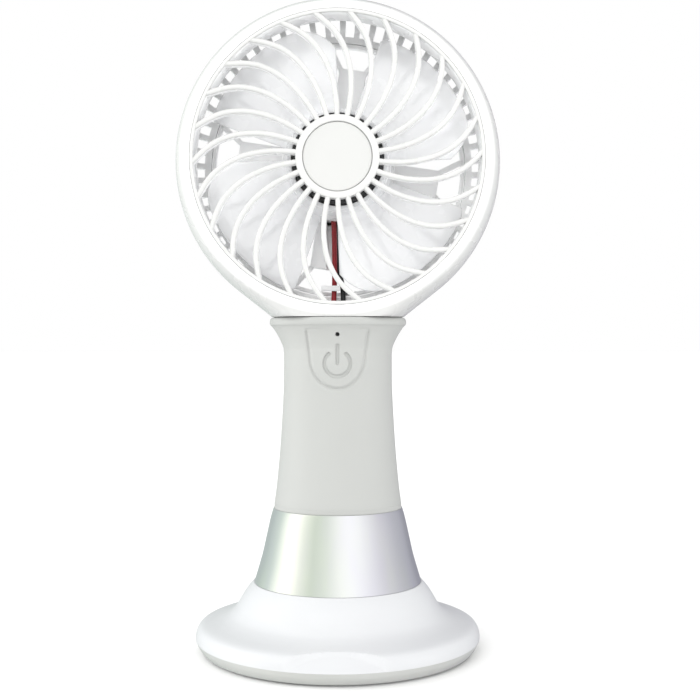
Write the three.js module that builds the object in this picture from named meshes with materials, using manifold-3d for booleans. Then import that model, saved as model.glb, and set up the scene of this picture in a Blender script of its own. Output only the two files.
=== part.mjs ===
// A handheld electric fan standing in its desk stand.
// Millimetres, +Z up, the air blows towards -Y, the origin is under the middle of the stand.
import * as THREE from 'three';
import { mergeVertices } from 'three/addons/utils/BufferGeometryUtils.js';
import Module from 'manifold-3d';

const wasm = await Module();
wasm.setup();

const { degToRad, lerp, smoothstep } = THREE.MathUtils;

// ---- Driving dimensions ----
const gap = 0.3; // between pieces that are fitted to each other
const split = 0.05; // half the joint line between a front and a rear shell

const head = { z: 156.2, r: 52, front: -15, back: 15.6, wall: 1.8, lip: 45.9, rear: 45.2 };
const throat = degToRad(38.3); // from straight down to where the round head turns into the neck
const neckZ = 106.6; // joint between head and handle

const grille = { rimIn: 44.9, rimOut: 46, rimDepth: 10.4, spokes: 26, spokeWidth: 1.6, spokeDepth: 4 };
const spokeBend = [[12.6, 0], [21.5, -1.5], [30.5, -6.2], [38, -14], [45.4, -22.2]]; // radius, degrees
const hubRing = { r: 13.1, recess: 10.8, depth: 4, step: 1.3 };
const badgeDisc = { r: 10.5, front: -14.6, thickness: 0.8 };

const blade = {
  count: 4, tip: 43.5, root: 15.9, thickness: 1.2, rootSpan: 72, tipSpan: 70, rise: 9.5, middle: -1.6,
};
const bladeCorner = { from: 0.28, drop: 0.172 }; // how far one end of the tip is rounded off
const gapTurn = 9.1; // degrees that the gaps between blades sit clockwise of the quarter hours
const rotor = { r: 14.4, front: -10, back: 2.2, wall: 1.2 };
const magnet = { in: 11.9, out: 13, front: -7.5, back: 1.8 };
const hubSkirt = { in: 14.7, front: -9.2, frontR: 16, back: 3.4, backR: 18.2 };
const shaft = { r: 1, front: -9.6, back: 12.2 };
const bearing = { in: 1.15, out: 2.5, front: -3.5, back: 11 };
const stator = {
  r: 11.3, ring: 5.2, front: -5, back: 1, poles: 6, poleWidth: 3.4, coilIn: 5.5, coilOut: 9.7,
};

const guard = { rimOut: 42.2, rimIn: 40.9, front: 12.2, back: 15.2, cupR: 18.6, cupFront: 4.4 };
const arm = { turn: 8.5, width: 9, end: 33.5, front: 10.6, ribWidth: 1.6, spread: 12.5, quarterRibs: 4 };
const wireSlot = { left: -4, right: 3.4 };
const vent = { count: 60, width: 2.9, length: 8.8, depth: 8, r: 48.1, y: 11.5, reach: 137, turn: 1.8 };
const lead = { r: 0.85 };

const handle = { bottom: 45.8, top: 106.4, wall: 1.8 };
const spigot = { topR: 17.5, bottomR: 16.5, bottom: 8, wall: 1.6 };
const cell = { r: 9.2, bottom: 12, length: 65 };
const button = {
  top: 102.9, topHalf: 9.6, sideZ: 94.6, sideHalf: 8.5, bottom: 84.1, gap: 0.2, thickness: 1.6,
};
const pressZ = 91; // where the button meets its switch
const led = { z: 101, hole: 0.65 };
const board = { front: -9.2, back: -8, half: 9, bottom: 79, top: 103.4 };
const socket = { z: 86, width: 9, height: 3.2, front: 6.6, back: 15 };

const base = { r: 45.5, edgeZ: 4.5, top: 21.9 };
const scoop = { r: 40.5, half: 20.3 }; // where the thumb scoop starts, and half its width in degrees
const cup = { in: 18, out: 19.15, floor: 4.2, inside: 6, top: 45.3 };
const ring = { bottom: 22.1, top: 45.5, wall: 1.2 };
const foot = { r: 4.6, at: 35, height: 1.7 };
const boss = { r: 3.2, at: 35.5, hole: 1.4 };
const ballast = { in: 20.5, out: 29.5, bottom: 2.9, top: 8.4 };
const plate = { r: 42.4, bottom: 0.9, top: 2.6, pocket: 1 };

// ---- Finishes ----
const finish = (color, roughness, metalness = 0) => (
  new THREE.MeshStandardMaterial({ color, roughness, metalness })
);
const gloss = () => finish(0xf6f7f8, 0.25);
const satin = () => finish(0xe9eae8, 0.5);
const clear = () => finish(0xeef1fa, 0.2);
const chrome = () => finish(0xd5d9d6, 0.12, 1);
const steel = () => finish(0x9fa2a6, 0.35, 1);
const dark = () => finish(0x303234, 0.45, 0.6);
const rubber = () => finish(0x3a3b3d, 0.9);
const greenBoard = () => finish(0x1f6b45, 0.5);

const fan = new THREE.Group();

function add(name, form, material) {
  const mesh = new THREE.Mesh(toGeometry(form), material);
  mesh.name = name;
  fan.add(mesh);
}

// ---- Solids ----
function toSolid(geometry) {
  const bare = geometry.clone();
  bare.deleteAttribute('normal');
  bare.deleteAttribute('uv');
  const merged = mergeVertices(bare, 1e-4);
  const kept = [];
  for (let i = 0; i < merged.index.count; i += 3) {
    const [a, b, c] = [0, 1, 2].map((k) => merged.index.getX(i + k));
    if (a !== b && b !== c && c !== a) kept.push(a, b, c);
  }
  const vertProperties = merged.attributes.position.array;
  return new wasm.Manifold(new wasm.Mesh({ numProp: 3, vertProperties, triVerts: Uint32Array.from(kept) }));
}

function toGeometry(form) {
  const mesh = form.getMesh();
  const geometry = new THREE.BufferGeometry();
  geometry.setAttribute('position', new THREE.BufferAttribute(mesh.vertProperties, 3));
  geometry.setIndex(new THREE.BufferAttribute(mesh.triVerts, 1));
  geometry.computeVertexNormals();
  return geometry;
}

const join = (...forms) => forms.reduce((sum, form) => sum.add(form));
const cut = (form, ...tools) => tools.reduce((rest, tool) => rest.subtract(tool), form);

function lathe(profile, segments) {
  const points = profile.map(([r, h]) => new THREE.Vector2(r, h));
  if (THREE.ShapeUtils.area(points) < 0) points.reverse();
  if (points[0].x > 0) points.push(points[0].clone());
  return new THREE.LatheGeometry(points, segments);
}

const upright = (profile, segments = 64) => lathe(profile, segments).rotateX(Math.PI / 2);

// A turned piece about the fan's axis, its profile given as radius and depth.
function turned(profile, segments = 64) {
  return toSolid(lathe(profile, segments).translate(0, 0, head.z));
}

const ringProfile = (inner, outer, low, high) => [[inner, low], [outer, low], [outer, high], [inner, high]];
const discProfile = (r, low, high) => [[0, low], [r, low], [r, high], [0, high]];
const post = (r, low, high, x, y, sides = 16) =>
  toSolid(upright(discProfile(r, low, high), sides).translate(x, y, 0));

function block([x0, x1], [y0, y1], [z0, z1]) {
  const box = new THREE.BoxGeometry(x1 - x0, y1 - y0, z1 - z0);
  return toSolid(box.translate((x0 + x1) / 2, (y0 + y1) / 2, (z0 + z1) / 2));
}

// An outline drawn in X and Z as seen from the front, as thick as from one depth to another.
function slab(shape, front, back, curveSegments = 12) {
  const options = { depth: back - front, bevelEnabled: false, curveSegments };
  return toSolid(new THREE.ExtrudeGeometry(shape, options).rotateX(Math.PI / 2).translate(0, back, 0));
}

// A place in the head, by its angle clockwise from the top as seen from the front.
function clock(r, degrees) {
  const angle = degToRad(degrees);
  return new THREE.Vector2(r * Math.sin(angle), head.z + r * Math.cos(angle));
}

function bar(from, to, width) {
  const side = to.clone().sub(from).normalize().rotateAround(new THREE.Vector2(), Math.PI / 2);
  side.multiplyScalar(width / 2);
  const left = [from.clone().sub(side), to.clone().sub(side)];
  const right = [to.clone().add(side), from.clone().add(side)];
  return new THREE.Shape([...left, ...right]);
}

// A screw with a pan head, standing on its tip and then turned to the side wanted.
function screw(headR, headHeight, shankR, length, sides = 12) {
  const shank = [[0, 0], [shankR, 0.6], [shankR, length]];
  const profile = [...shank, [headR, length], [headR * 0.8, length + headHeight]];
  return upright([...profile, [0, length + headHeight]], sides);
}

// ---- Stand ----
const baseTop = [
  [43, 0.7], [base.r, base.edgeZ], [45.3, 6.6], [44, 8.4], [42.2, 9.2], [40, 9.7], [36.5, 10.8], [33.6, 12.7],
  [31.2, 16.2], [27.3, base.top],
];
const baseInside = [
  [24.9, base.top], [28.8, 14.8], [31.2, 11.4], [34.6, 9.2], [41, 7.4], [43.2, 5], [42.8, 0.7],
];

// The rounded shoulder is pressed flat at the front, where a thumb holds the stand down.
function pressScoop(geometry) {
  const position = geometry.attributes.position;
  const rimTop = baseTop.find(([r]) => r === 40)[1];
  for (let i = 0; i < position.count; i += 1) {
    const [x, y, z] = [position.getX(i), position.getY(i), position.getZ(i)];
    const r = Math.hypot(x, y);
    const away = Math.abs(THREE.MathUtils.radToDeg(Math.atan2(x, -y))) / scoop.half;
    const start = lerp(scoop.r, base.r, Math.min(1, away * away));
    if (away >= 1 || r <= start || z <= base.edgeZ) continue;
    const flat = lerp(rimTop, base.edgeZ, (r - scoop.r) / (base.r - scoop.r));
    position.setZ(i, Math.max(base.edgeZ, Math.min(z, lerp(z, flat, (r - start) / (r - start + 0.6)))));
  }
  return geometry;
}

function standShell() {
  const bosses = [45, 135, 225, 315].map((a) => {
    const [x, y] = [boss.at * Math.cos(degToRad(a)), boss.at * Math.sin(degToRad(a))];
    return cut(post(boss.r, 2.8, 9.4, x, y, 16), post(boss.hole, 2, 8.2, x, y, 12));
  });
  const shell = toSolid(pressScoop(upright([...baseTop, ...baseInside], 40)));
  return join(shell, ...bosses);
}

const ringOutside = [
  [26.8, ring.bottom], [25.2, 27.6], [23.7, 33], [22.2, 38.8], [21.2, 43], [20.6, ring.top],
];

function trimRing() {
  const kept = ringOutside.filter((_, i) => i !== 1 && i !== 4);
  const inside = kept.map(([r, z]) => [r - ring.wall, z]).reverse();
  return toSolid(upright([...ringOutside, ...inside], 40));
}

const standSocket = () => toSolid(upright([
  [0, cup.floor], [cup.out, cup.floor], [cup.out, cup.top],
  [cup.in, cup.top], [cup.in, cup.inside], [0, cup.inside],
], 48));

function basePlate() {
  const pockets = [0, 90, 180, 270].map((a) => {
    const [x, y] = [foot.at * Math.cos(degToRad(a)), foot.at * Math.sin(degToRad(a))];
    return post(foot.r + gap, plate.bottom - 1, plate.bottom + plate.pocket, x, y);
  });
  const holes = [45, 135, 225, 315].flatMap((a) => {
    const [x, y] = [boss.at * Math.cos(degToRad(a)), boss.at * Math.sin(degToRad(a))];
    return [post(2.9, 0, 1.9, x, y, 16), post(1.5, 0, 4, x, y, 12)];
  });
  return cut(toSolid(upright(discProfile(plate.r, plate.bottom, plate.top), 36)), ...pockets, ...holes);
}

function buildStand() {
  add('stand_shell', standShell(), gloss());
  add('trim_ring', trimRing(), chrome());
  add('stand_socket', standSocket(), satin());
  const weight = ringProfile(ballast.in, ballast.out, ballast.bottom, ballast.top);
  add('counterweight', toSolid(upright(weight, 36)), steel());
  add('stand_base_plate', basePlate(), satin());
  for (let i = 0; i < 4; i += 1) {
    const [footAngle, screwAngle] = [degToRad(90 * i), degToRad(90 * i + 45)];
    const [x, y] = [foot.at * Math.cos(footAngle), foot.at * Math.sin(footAngle)];
    add(`stand_foot_${i + 1}`, post(foot.r, 0, foot.height, x, y, 24), rubber());
    const pin = screw(2.6, 0.7, 1.1, 5.9).rotateX(Math.PI);
    pin.translate(boss.at * Math.cos(screwAngle), boss.at * Math.sin(screwAngle), 7.7);
    add(`stand_screw_${i + 1}`, toSolid(pin), steel());
  }
}

// ---- Handle ----
const handleSide = [
  [20.5, handle.bottom], [20.2, 49], [19.4, 55], [18.5, 66],
  [17.75, 78], [17.44, 87], [17.44, 96], [18.1, 98.3],
  [20.2, 102], [21.4, 103.8], [22, 104.7], [21.9, 105.6], [21.5, handle.top],
];

// The handle is nearly round at the stand and flattens towards the neck.
function depthRatio(z) {
  return 0.97 - 0.08 * smoothstep(z, 50, 90) - 0.14 * smoothstep(z, 90, 105);
}

function squeeze(geometry, inset) {
  const position = geometry.attributes.position;
  for (let i = 0; i < position.count; i += 1) {
    const [x, y, z] = [position.getX(i), position.getY(i), position.getZ(i)];
    const r = Math.hypot(x, y);
    if (r > 0) position.setY(i, y * (((r + inset) * depthRatio(z) - inset) / r));
  }
  return geometry;
}

function handleForm(inset, low = handle.bottom, high = handle.top) {
  const side = handleSide.map(([r, z]) => [r - inset, z]);
  side[0][1] = low;
  side[side.length - 1][1] = high;
  return toSolid(squeeze(upright([[0, low], ...side, [0, high]], 32), inset));
}

const spigotForm = (inset, low, high) => toSolid(upright(
  [[0, low], [spigot.bottomR - inset, low], [spigot.topR - inset, high], [0, high]],
  32,
));

// The button's outline: a tongue with a flat top and a round end, grown outwards by a margin.
function tongue(margin) {
  const shape = new THREE.Shape();
  const topHalf = button.topHalf + margin;
  const sideHalf = button.sideHalf + margin;
  shape.moveTo(-topHalf, button.top + margin);
  shape.lineTo(-sideHalf, button.sideZ);
  const drop = button.sideZ - button.bottom + margin;
  shape.absellipse(0, button.sideZ, sideHalf, drop, Math.PI, 2 * Math.PI, false, 0);
  shape.lineTo(topHalf, button.top + margin);
  shape.closePath();
  return shape;
}

function handleShell() {
  const outside = join(handleForm(0), spigotForm(0, spigot.bottom, handle.bottom + 0.1));
  const hollow = join(
    handleForm(handle.wall, handle.bottom + 2, handle.top + 1),
    spigotForm(spigot.wall, spigot.bottom - 1, handle.bottom + 3),
  );
  return cut(outside, hollow);
}

function socketHole() {
  const { width, height, z } = socket;
  return block([-width / 2 - gap, width / 2 + gap], [8, 20], [z - height / 2 - gap, z + height / 2 + gap]);
}

function powerButton() {
  const skin = cut(handleForm(0), handleForm(button.thickness, handle.bottom - 1, handle.top + 1));
  const patch = slab(tongue(-button.gap), -24, -6, 10).intersect(skin);
  const nub = turnedNub().translate(0, 0, pressZ);
  const eye = slab(circle(led.hole, 0, led.z), -24, -6, 6);
  return cut(join(patch, toSolid(nub)), eye);
}

const turnedNub = () => lathe(discProfile(1.5, -14.2, -11.9), 16);

function circle(r, x, z) {
  const shape = new THREE.Shape();
  shape.absarc(x, z, r, 0, 2 * Math.PI, false);
  return shape;
}

function cradle() {
  const shape = new THREE.Shape();
  const half = degToRad(75);
  shape.absarc(0, 0, 11, Math.PI / 2 - half, Math.PI / 2 + half, false);
  shape.absarc(0, 0, 9.5, Math.PI / 2 + half, Math.PI / 2 - half, true);
  shape.closePath();
  const options = { depth: cell.length - 2, bevelEnabled: false, curveSegments: 14 };
  return toSolid(new THREE.ExtrudeGeometry(shape, options).translate(0, 0, cell.bottom + 1));
}

function tactSwitch() {
  const body = block([-3, 3], [-11, board.front - 0.05], [pressZ - 3, pressZ + 3]);
  const plunger = toSolid(lathe(discProfile(1.6, -11.4, -10.9), 16).translate(0, 0, pressZ));
  return join(body, plunger);
}

function chargeSocket() {
  const { width, height, front, back, z } = socket;
  const body = block([-width / 2, width / 2], [front, back], [z - height / 2, z + height / 2]);
  const halfWidth = width / 2 - 0.6;
  const halfHeight = height / 2 - 0.5;
  const mouth = block([-halfWidth, halfWidth], [front + 1, back + 1], [z - halfHeight, z + halfHeight]);
  const tongueBar = block([-3, 3], [front + 0.9, back - 1], [z - 0.35, z + 0.35]);
  return join(cut(body, mouth), tongueBar);
}

function neckJoiner() {
  const tube = upright(ringProfile(16, 17.6, 103.6, 106.8), 28);
  return toSolid(tube.scale(1, 0.66, 1));
}

function buildHandle() {
  const shell = handleShell();
  const far = 60;
  const frontHalf = block([-far, far], [-far, -split], [0, 2 * far]);
  const rearHalf = block([-far, far], [split, far], [0, 2 * far]);
  add('handle_front_shell', cut(shell.intersect(frontHalf), slab(tongue(button.gap), -24, -6, 10)), satin());
  add('handle_rear_shell', cut(shell.intersect(rearHalf), socketHole(), screwHoles()), satin());
  add('handle_end_cap', toSolid(upright(discProfile(14.5, 8.2, 10.4), 48)), satin());
  add('battery_cell', post(cell.r, cell.bottom, cell.bottom + cell.length, 0, 0, 36), finish(0x2f6fb0, 0.4));
  add('battery_cradle', cradle(), satin());
  add('battery_tab_lower', block([-3, 3], [-3, 3], [10.9, 11.2]), steel());
  add('battery_tab_upper', block([-3, 3], [-3, 3], [77.3, 77.6]), steel());
  const { half, front, back, bottom, top } = board;
  add('main_board', block([-half, half], [front, back], [bottom, top]), greenBoard());
  add('control_chip', block([-2.5, 2.5], [board.back + 0.1, -6.4], [84, 88]), dark());
  add('tact_switch', tactSwitch(), dark());
  add('status_led', block([-0.8, 0.8], [-10.4, board.front - 0.05], [led.z - 0.8, led.z + 0.8]), clear());
  add('charge_board', block([-8, 8], [1.5, 11.4], [82.9, 84.1]), greenBoard());
  add('charge_socket', chargeSocket(), steel());
  add('neck_joiner', neckJoiner(), satin());
  const pins = [[0, 55], [0, 98]];
  pins.forEach(([x, z], i) => {
    const back = handleBack(z);
    const pin = screw(2.2, 0.8, 0.95, 5.4).rotateX(-Math.PI / 2).translate(x, back - 6.6, z);
    add(`handle_screw_${i + 1}`, toSolid(pin), steel());
  });
  add('power_button', powerButton(), satin());
}

// How far back the handle's surface is at a height on its middle line.
function handleBack(z) {
  const above = handleSide.findIndex(([, h]) => h >= z);
  const [[r0, z0], [r1, z1]] = [handleSide[above - 1], handleSide[above]];
  return lerp(r0, r1, (z - z0) / (z1 - z0)) * depthRatio(z);
}

function screwHoles() {
  const holes = [55, 98].map((z) => {
    const back = handleBack(z);
    return join(
      toSolid(lathe(discProfile(2.5, back - 1.5, back + 3), 16).translate(0, 0, z)),
      toSolid(lathe(discProfile(1.2, back - 9, back), 12).translate(0, 0, z)),
    );
  });
  return join(...holes);
}

// ---- Head ----
// Below the round part the outline runs straight to the neck, touching the circle.
function teardrop(geometry) {
  const position = geometry.attributes.position;
  for (let i = 0; i < position.count; i += 1) {
    const [x, z] = [position.getX(i), position.getZ(i)];
    const down = Math.abs(Math.atan2(x, -z));
    if (down >= throat || Math.hypot(x, z) < 1e-6) continue;
    const stretch = 1 / Math.cos(throat - down);
    position.setX(i, x * stretch);
    position.setZ(i, z * stretch);
  }
  return geometry;
}

// One half of the head as a solid drop, its side a quarter ellipse from the joint to the rim.
function headForm(rim, y, inset, steps, segments) {
  const side = [];
  for (let i = 0; i <= steps; i += 1) {
    const turn = (Math.PI / 2) * (i / steps);
    side.push([rim - inset + (head.r - rim) * Math.cos(turn), (y - Math.sign(y) * inset) * Math.sin(turn)]);
  }
  side[0][1] = inset > 0 ? -Math.sign(y) : Math.sign(y) * split;
  const low = side[0][1];
  const high = side[steps][1];
  return toSolid(teardrop(lathe([[0, low], ...side, [0, high]], segments)).translate(0, 0, head.z));
}

const belowNeck = () => block([-60, 60], [-40, 40], [60, neckZ]);
const lowSector = () => block([-33, 33], [-40, 40], [60, head.z - 35]);

function headFrontShell() {
  const [outside, inside] = [0, head.wall].map((inset) => headForm(head.lip, head.front, inset, 4, 48));
  const shell = cut(outside, inside);
  const collar = turned(ringProfile(grille.rimOut + gap, 47.6, head.front + 1.2, -4.8), 48);
  const bore = turned(discProfile(grille.rimOut + 0.15, -30, 10), 48);
  return cut(join(shell, collar), bore, belowNeck());
}

function headRearShell() {
  const [outside, inside] = [0, head.wall].map((inset) => headForm(head.rear, head.back, inset, 3, 60));
  const shell = cut(outside, inside);
  const floorWall = turned(ringProfile(47.9, 49.2, 0.4, 14.2), 48).intersect(lowSector());
  const bore = turned(discProfile(guard.rimOut + gap, 5, 30), 60);
  const wireGate = block([wireSlot.left, wireSlot.right], [6, 12.5], [100, head.z - 40]);
  const slots = [];
  for (let i = 0; i < vent.count; i += 1) {
    const degrees = (i + 0.5) * (360 / vent.count) - 180 + vent.turn;
    if (Math.abs(degrees) > vent.reach) continue;
    const slot = new THREE.BoxGeometry(vent.width, vent.length, vent.depth);
    slot.rotateX(degToRad(-45)).translate(0, vent.y, vent.r);
    slot.rotateY(degToRad(degrees)).translate(0, 0, head.z);
    slots.push(toSolid(slot));
  }
  return cut(join(shell, floorWall), bore, wireGate, join(...slots), belowNeck());
}

function spokeShape() {
  const points = spokeBend.map(([r, degrees]) => clock(r, degrees));
  const middle = new THREE.SplineCurve(points);
  const steps = 5;
  const sides = [[], []];
  for (let i = 0; i <= steps; i += 1) {
    const point = middle.getPoint(i / steps);
    const along = middle.getTangent(i / steps);
    const half = grille.spokeWidth / 2;
    sides[0].push(new THREE.Vector2(point.x - along.y * half, point.y + along.x * half));
    sides[1].unshift(new THREE.Vector2(point.x + along.y * half, point.y - along.x * half));
  }
  return new THREE.Shape([...sides[0], ...sides[1]]);
}

function frontGrille() {
  const front = head.front;
  const rim = turned(ringProfile(grille.rimIn, grille.rimOut, front, front + grille.rimDepth), 78);
  const hub = turned([
    [0, front + hubRing.step], [hubRing.recess, front + hubRing.step],
    [hubRing.recess, front], [hubRing.r, front],
    [hubRing.r, front + hubRing.depth], [0, front + hubRing.depth],
  ], 39);
  const spokes = [];
  for (let i = 0; i < grille.spokes; i += 1) {
    const turn = degToRad((360 / grille.spokes) * i + 13.5);
    const spoke = new THREE.ExtrudeGeometry(spokeShape(), { depth: grille.spokeDepth, bevelEnabled: false });
    spoke.rotateX(Math.PI / 2).translate(0, front + 0.2 + grille.spokeDepth, -head.z).rotateY(turn);
    spokes.push(toSolid(spoke.translate(0, 0, head.z)));
  }
  return join(rim, hub, ...spokes);
}

function rearGuard() {
  const { cupR, cupFront, back, rimOut } = guard;
  const cupWall = 1.3;
  const mount = turned([
    [0, back - 1.6], [bearing.out + 0.1, back - 1.6],
    [bearing.out + 0.1, bearing.front], [3.5, bearing.front],
    [3.5, back - 2.2], [cupR - cupWall, back - 2.2],
    [cupR - cupWall, cupFront], [cupR, cupFront], [cupR, back],
    [0, back],
  ], 32);
  const rim = turned(ringProfile(guard.rimIn, rimOut, guard.front, back), 48);
  const pieces = [];
  for (let i = 0; i < 4; i += 1) {
    const middle = arm.turn + 90 * i;
    pieces.push(slab(bar(clock(cupR - 1, middle), clock(arm.end, middle), arm.width), arm.front, back));
    for (const side of [-1, 1]) {
      const corner = clock(arm.end - 1, middle + side * 6);
      const end = clock(rimOut - 0.6, middle + side * arm.spread);
      pieces.push(slab(bar(corner, end, arm.ribWidth), guard.front, back));
    }
    for (let k = 0; k < arm.quarterRibs; k += 1) {
      const rib = middle + 27 + k * 12;
      const shape = bar(clock(cupR - 0.8, rib), clock(rimOut - 0.6, rib), arm.ribWidth);
      pieces.push(slab(shape, guard.front + 0.6, back));
    }
  }
  const { left, right } = wireSlot;
  const channel = block([left, right], [0, 14], [head.z - rimOut - 3, head.z - cupR + 3]);
  return cut(join(mount, rim, ...pieces), channel);
}

function statorCore(grow) {
  const { r, ring: yoke, front, back, poles, poleWidth } = stator;
  const core = turned(ringProfile(3.9 - grow, yoke + grow, front - grow, back + grow), 24);
  const parts = [core];
  for (let i = 0; i < poles; i += 1) {
    const angle = (360 / poles) * i;
    const tip = bar(clock(r - 1.6, angle - 14), clock(r - 1.6, angle + 14), 1.6 + 2 * grow);
    const pole = bar(clock(yoke - 1, angle), clock(r - 0.9, angle), poleWidth + 2 * grow);
    parts.push(slab(pole, front - grow, back + grow));
    parts.push(slab(tip, front - grow, back + grow));
  }
  return join(...parts);
}

function statorCoils() {
  const { coilIn, coilOut, front, back } = stator;
  return cut(turned(ringProfile(coilIn, coilOut, front - 1.6, back + 1.6), 24), statorCore(0.1));
}

function cable(points) {
  const path = new THREE.CatmullRomCurve3(points.map(([x, y, z]) => new THREE.Vector3(x, y, z)));
  const shape = new THREE.Shape();
  shape.absarc(0, 0, lead.r, 0, 2 * Math.PI, false);
  return toSolid(new THREE.ExtrudeGeometry(shape, { steps: 22, extrudePath: path, curveSegments: 4 }));
}

const redRoute = [
  [-2.2, 7, 143.4], [-1.6, 8.2, 139], [-1.3, 8.8, 134],
  [-1.2, 9.2, 126], [-1.2, 9.8, 120.5], [-1.3, 10.45, 116.5],
  [-1.6, 9.6, 110.6], [-2, 8, 106.6], [-3, 3, 102.4], [-4, -2, 99.4], [-5, -6.4, 98],
];
const blackRoute = [
  [1.8, 7.4, 143.4], [0.2, 9.8, 139], [-0.6, 10.9, 134],
  [-0.4, 11.3, 128], [0.4, 11.2, 122], [1.5, 10.4, 116.5],
  [1.7, 9.6, 110.6], [2, 8, 106.6], [3, 3, 102.4], [4, -2, 99.4], [5, -6.4, 98],
];
const clipSize = {
  left: -5.6, legIn: -4.3, right: 0.6, front: 8.2, back: 10.3, thick: 1.1, bottom: 115.6, top: 117.4,
};

function leadClip() {
  const { left, legIn, right, front, back, thick, bottom, top } = clipSize;
  const bridge = block([left, right], [front, front + thick], [bottom, top]);
  const leg = block([left, legIn], [front, back], [bottom, top]);
  return join(bridge, leg);
}

function buildHead() {
  add('head_front_shell', headFrontShell(), gloss());
  add('head_rear_shell', headRearShell(), gloss());
  add('front_grille', frontGrille(), gloss());
  const { r, front, thickness } = badgeDisc;
  add('hub_badge', turned(discProfile(r, front, front + thickness), 48), satin());
  add('rear_guard', rearGuard(), gloss());
  const sleeve = ringProfile(bearing.in, bearing.out, bearing.front, bearing.back);
  add('motor_bearing', turned(sleeve, 24), finish(0xb08d57, 0.4, 1));
  add('stator_core', statorCore(0), steel());
  add('stator_coils', statorCoils(), finish(0xb5651d, 0.4, 0.8));
  add('motor_lead_red', cable(redRoute), finish(0x8a1520, 0.4));
  add('motor_lead_black', cable(blackRoute), finish(0x141414, 0.4));
  add('lead_clip', leadClip(), gloss());
}

// ---- Impeller ----
function bladeForm(centre) {
  const plateForm = new THREE.BoxGeometry(1, 1, 1, 8, 4, 1);
  const position = plateForm.attributes.position;
  for (let i = 0; i < position.count; i += 1) {
    const [u, v, w] = [position.getX(i), position.getY(i) + 0.5, position.getZ(i)];
    const past = Math.max(0, (u - 0.5 + bladeCorner.from) / bladeCorner.from);
    const corner = 1 - bladeCorner.drop * past ** 2;
    const r = lerp(blade.root, blade.tip * corner, v);
    const span = lerp(blade.rootSpan, blade.tipSpan, v);
    const at = clock(r, centre + u * span);
    const pitch = lerp(1, 0.82, v);
    position.setXYZ(i, at.x, blade.middle - u * blade.rise * pitch - w * blade.thickness, at.y);
  }
  return toSolid(plateForm);
}

function impeller() {
  const { in: inner, front, frontR, back, backR } = hubSkirt;
  const hub = turned([[inner, front], [frontR, front], [backR, back], [inner, back]], 40);
  const blades = [];
  for (let i = 0; i < blade.count; i += 1) blades.push(bladeForm(45 + gapTurn + 90 * i));
  const inside = turned(discProfile(inner, -20, 20), 40);
  return cut(join(hub, ...blades), inside);
}

const rotorYoke = () => turned([
  [shaft.r + 0.15, rotor.front], [rotor.r, rotor.front], [rotor.r, rotor.back],
  [rotor.r - rotor.wall, rotor.back], [rotor.r - rotor.wall, rotor.front + 1.1],
  [3, rotor.front + 1.1], [3, rotor.front + 2.6],
  [shaft.r + 0.15, rotor.front + 2.6],
], 32);

function buildImpeller() {
  add('impeller', impeller(), clear());
  add('rotor_yoke', rotorYoke(), dark());
  add('magnet_ring', turned(ringProfile(magnet.in, magnet.out, magnet.front, magnet.back), 36), dark());
  add('motor_shaft', turned(discProfile(shaft.r, shaft.front, shaft.back), 20), steel());
  add('shaft_clip', turned(ringProfile(shaft.r + 0.1, 2.2, 11.3, 11.8), 20), steel());
}

buildStand();
buildHandle();
buildHead();
buildImpeller();

export default fan;
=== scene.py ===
from math import asin, atan2, copysign, cos, degrees, hypot, pi, radians, sin, tan
import bmesh
import bpy
from mathutils import Matrix, Vector


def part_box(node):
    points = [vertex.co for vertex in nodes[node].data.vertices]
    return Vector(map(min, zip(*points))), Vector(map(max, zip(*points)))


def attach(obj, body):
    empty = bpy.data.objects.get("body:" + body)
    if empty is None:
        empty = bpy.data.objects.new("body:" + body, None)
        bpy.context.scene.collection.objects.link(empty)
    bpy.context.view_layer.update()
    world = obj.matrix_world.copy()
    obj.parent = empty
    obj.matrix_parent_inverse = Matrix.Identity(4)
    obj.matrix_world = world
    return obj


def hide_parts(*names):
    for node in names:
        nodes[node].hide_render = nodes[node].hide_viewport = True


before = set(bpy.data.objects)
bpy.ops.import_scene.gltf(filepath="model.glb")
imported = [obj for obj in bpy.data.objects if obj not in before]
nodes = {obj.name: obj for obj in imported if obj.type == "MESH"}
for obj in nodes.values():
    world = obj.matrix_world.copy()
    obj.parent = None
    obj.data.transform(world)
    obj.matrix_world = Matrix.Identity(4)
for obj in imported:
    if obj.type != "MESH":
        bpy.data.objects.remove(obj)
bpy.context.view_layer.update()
mm = 0.001


# ---- sizes that come from the frame ----
def low(node):
    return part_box(node)[0]


def high(node):
    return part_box(node)[1]


headFront, headBack = low("head_front_shell").y, high("head_rear_shell").y
headRadius = high("head_front_shell").x
neckHeight = low("head_front_shell").z
axisHeight = (low("hub_badge").z + high("hub_badge").z) / 2
jointGap = 0.05 * mm
rimInner, rimOuter = high("front_grille").x - 1.1 * mm, high("front_grille").x
rimBack = high("front_grille").y
guardRim = high("rear_guard").x
print("frame loaded:", len(nodes), "nodes")


# ---- small helpers ----
def mix(a, b, t):
    return a * (1 - t) + b * t


def spaced(start, end, steps):  # evenly spaced values, both ends among them
    return [mix(start, end, i / steps) for i in range(steps + 1)]


def ease(value, start, end):
    t = min(1.0, max(0.0, (value - start) / (end - start)))
    return t * t * (3 - 2 * t)


def smoothLine(points, steps=8):  # a smooth curve through the points, each kept
    line = []
    for i in range(len(points) - 1):
        p0, p1, p2 = points[max(i - 1, 0)], points[i], points[i + 1]
        p3 = points[min(i + 2, len(points) - 1)]
        for k in range(steps):
            t = k / steps
            line.append(tuple(
                0.5 * (2 * b + (c - a) * t + (2 * a - 5 * b + 4 * c - d) * t * t
                       + (3 * b - a - 3 * c + d) * t ** 3)
                for a, b, c, d in zip(p0, p1, p2, p3)
            ))
    return line + [tuple(points[-1])]


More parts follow.
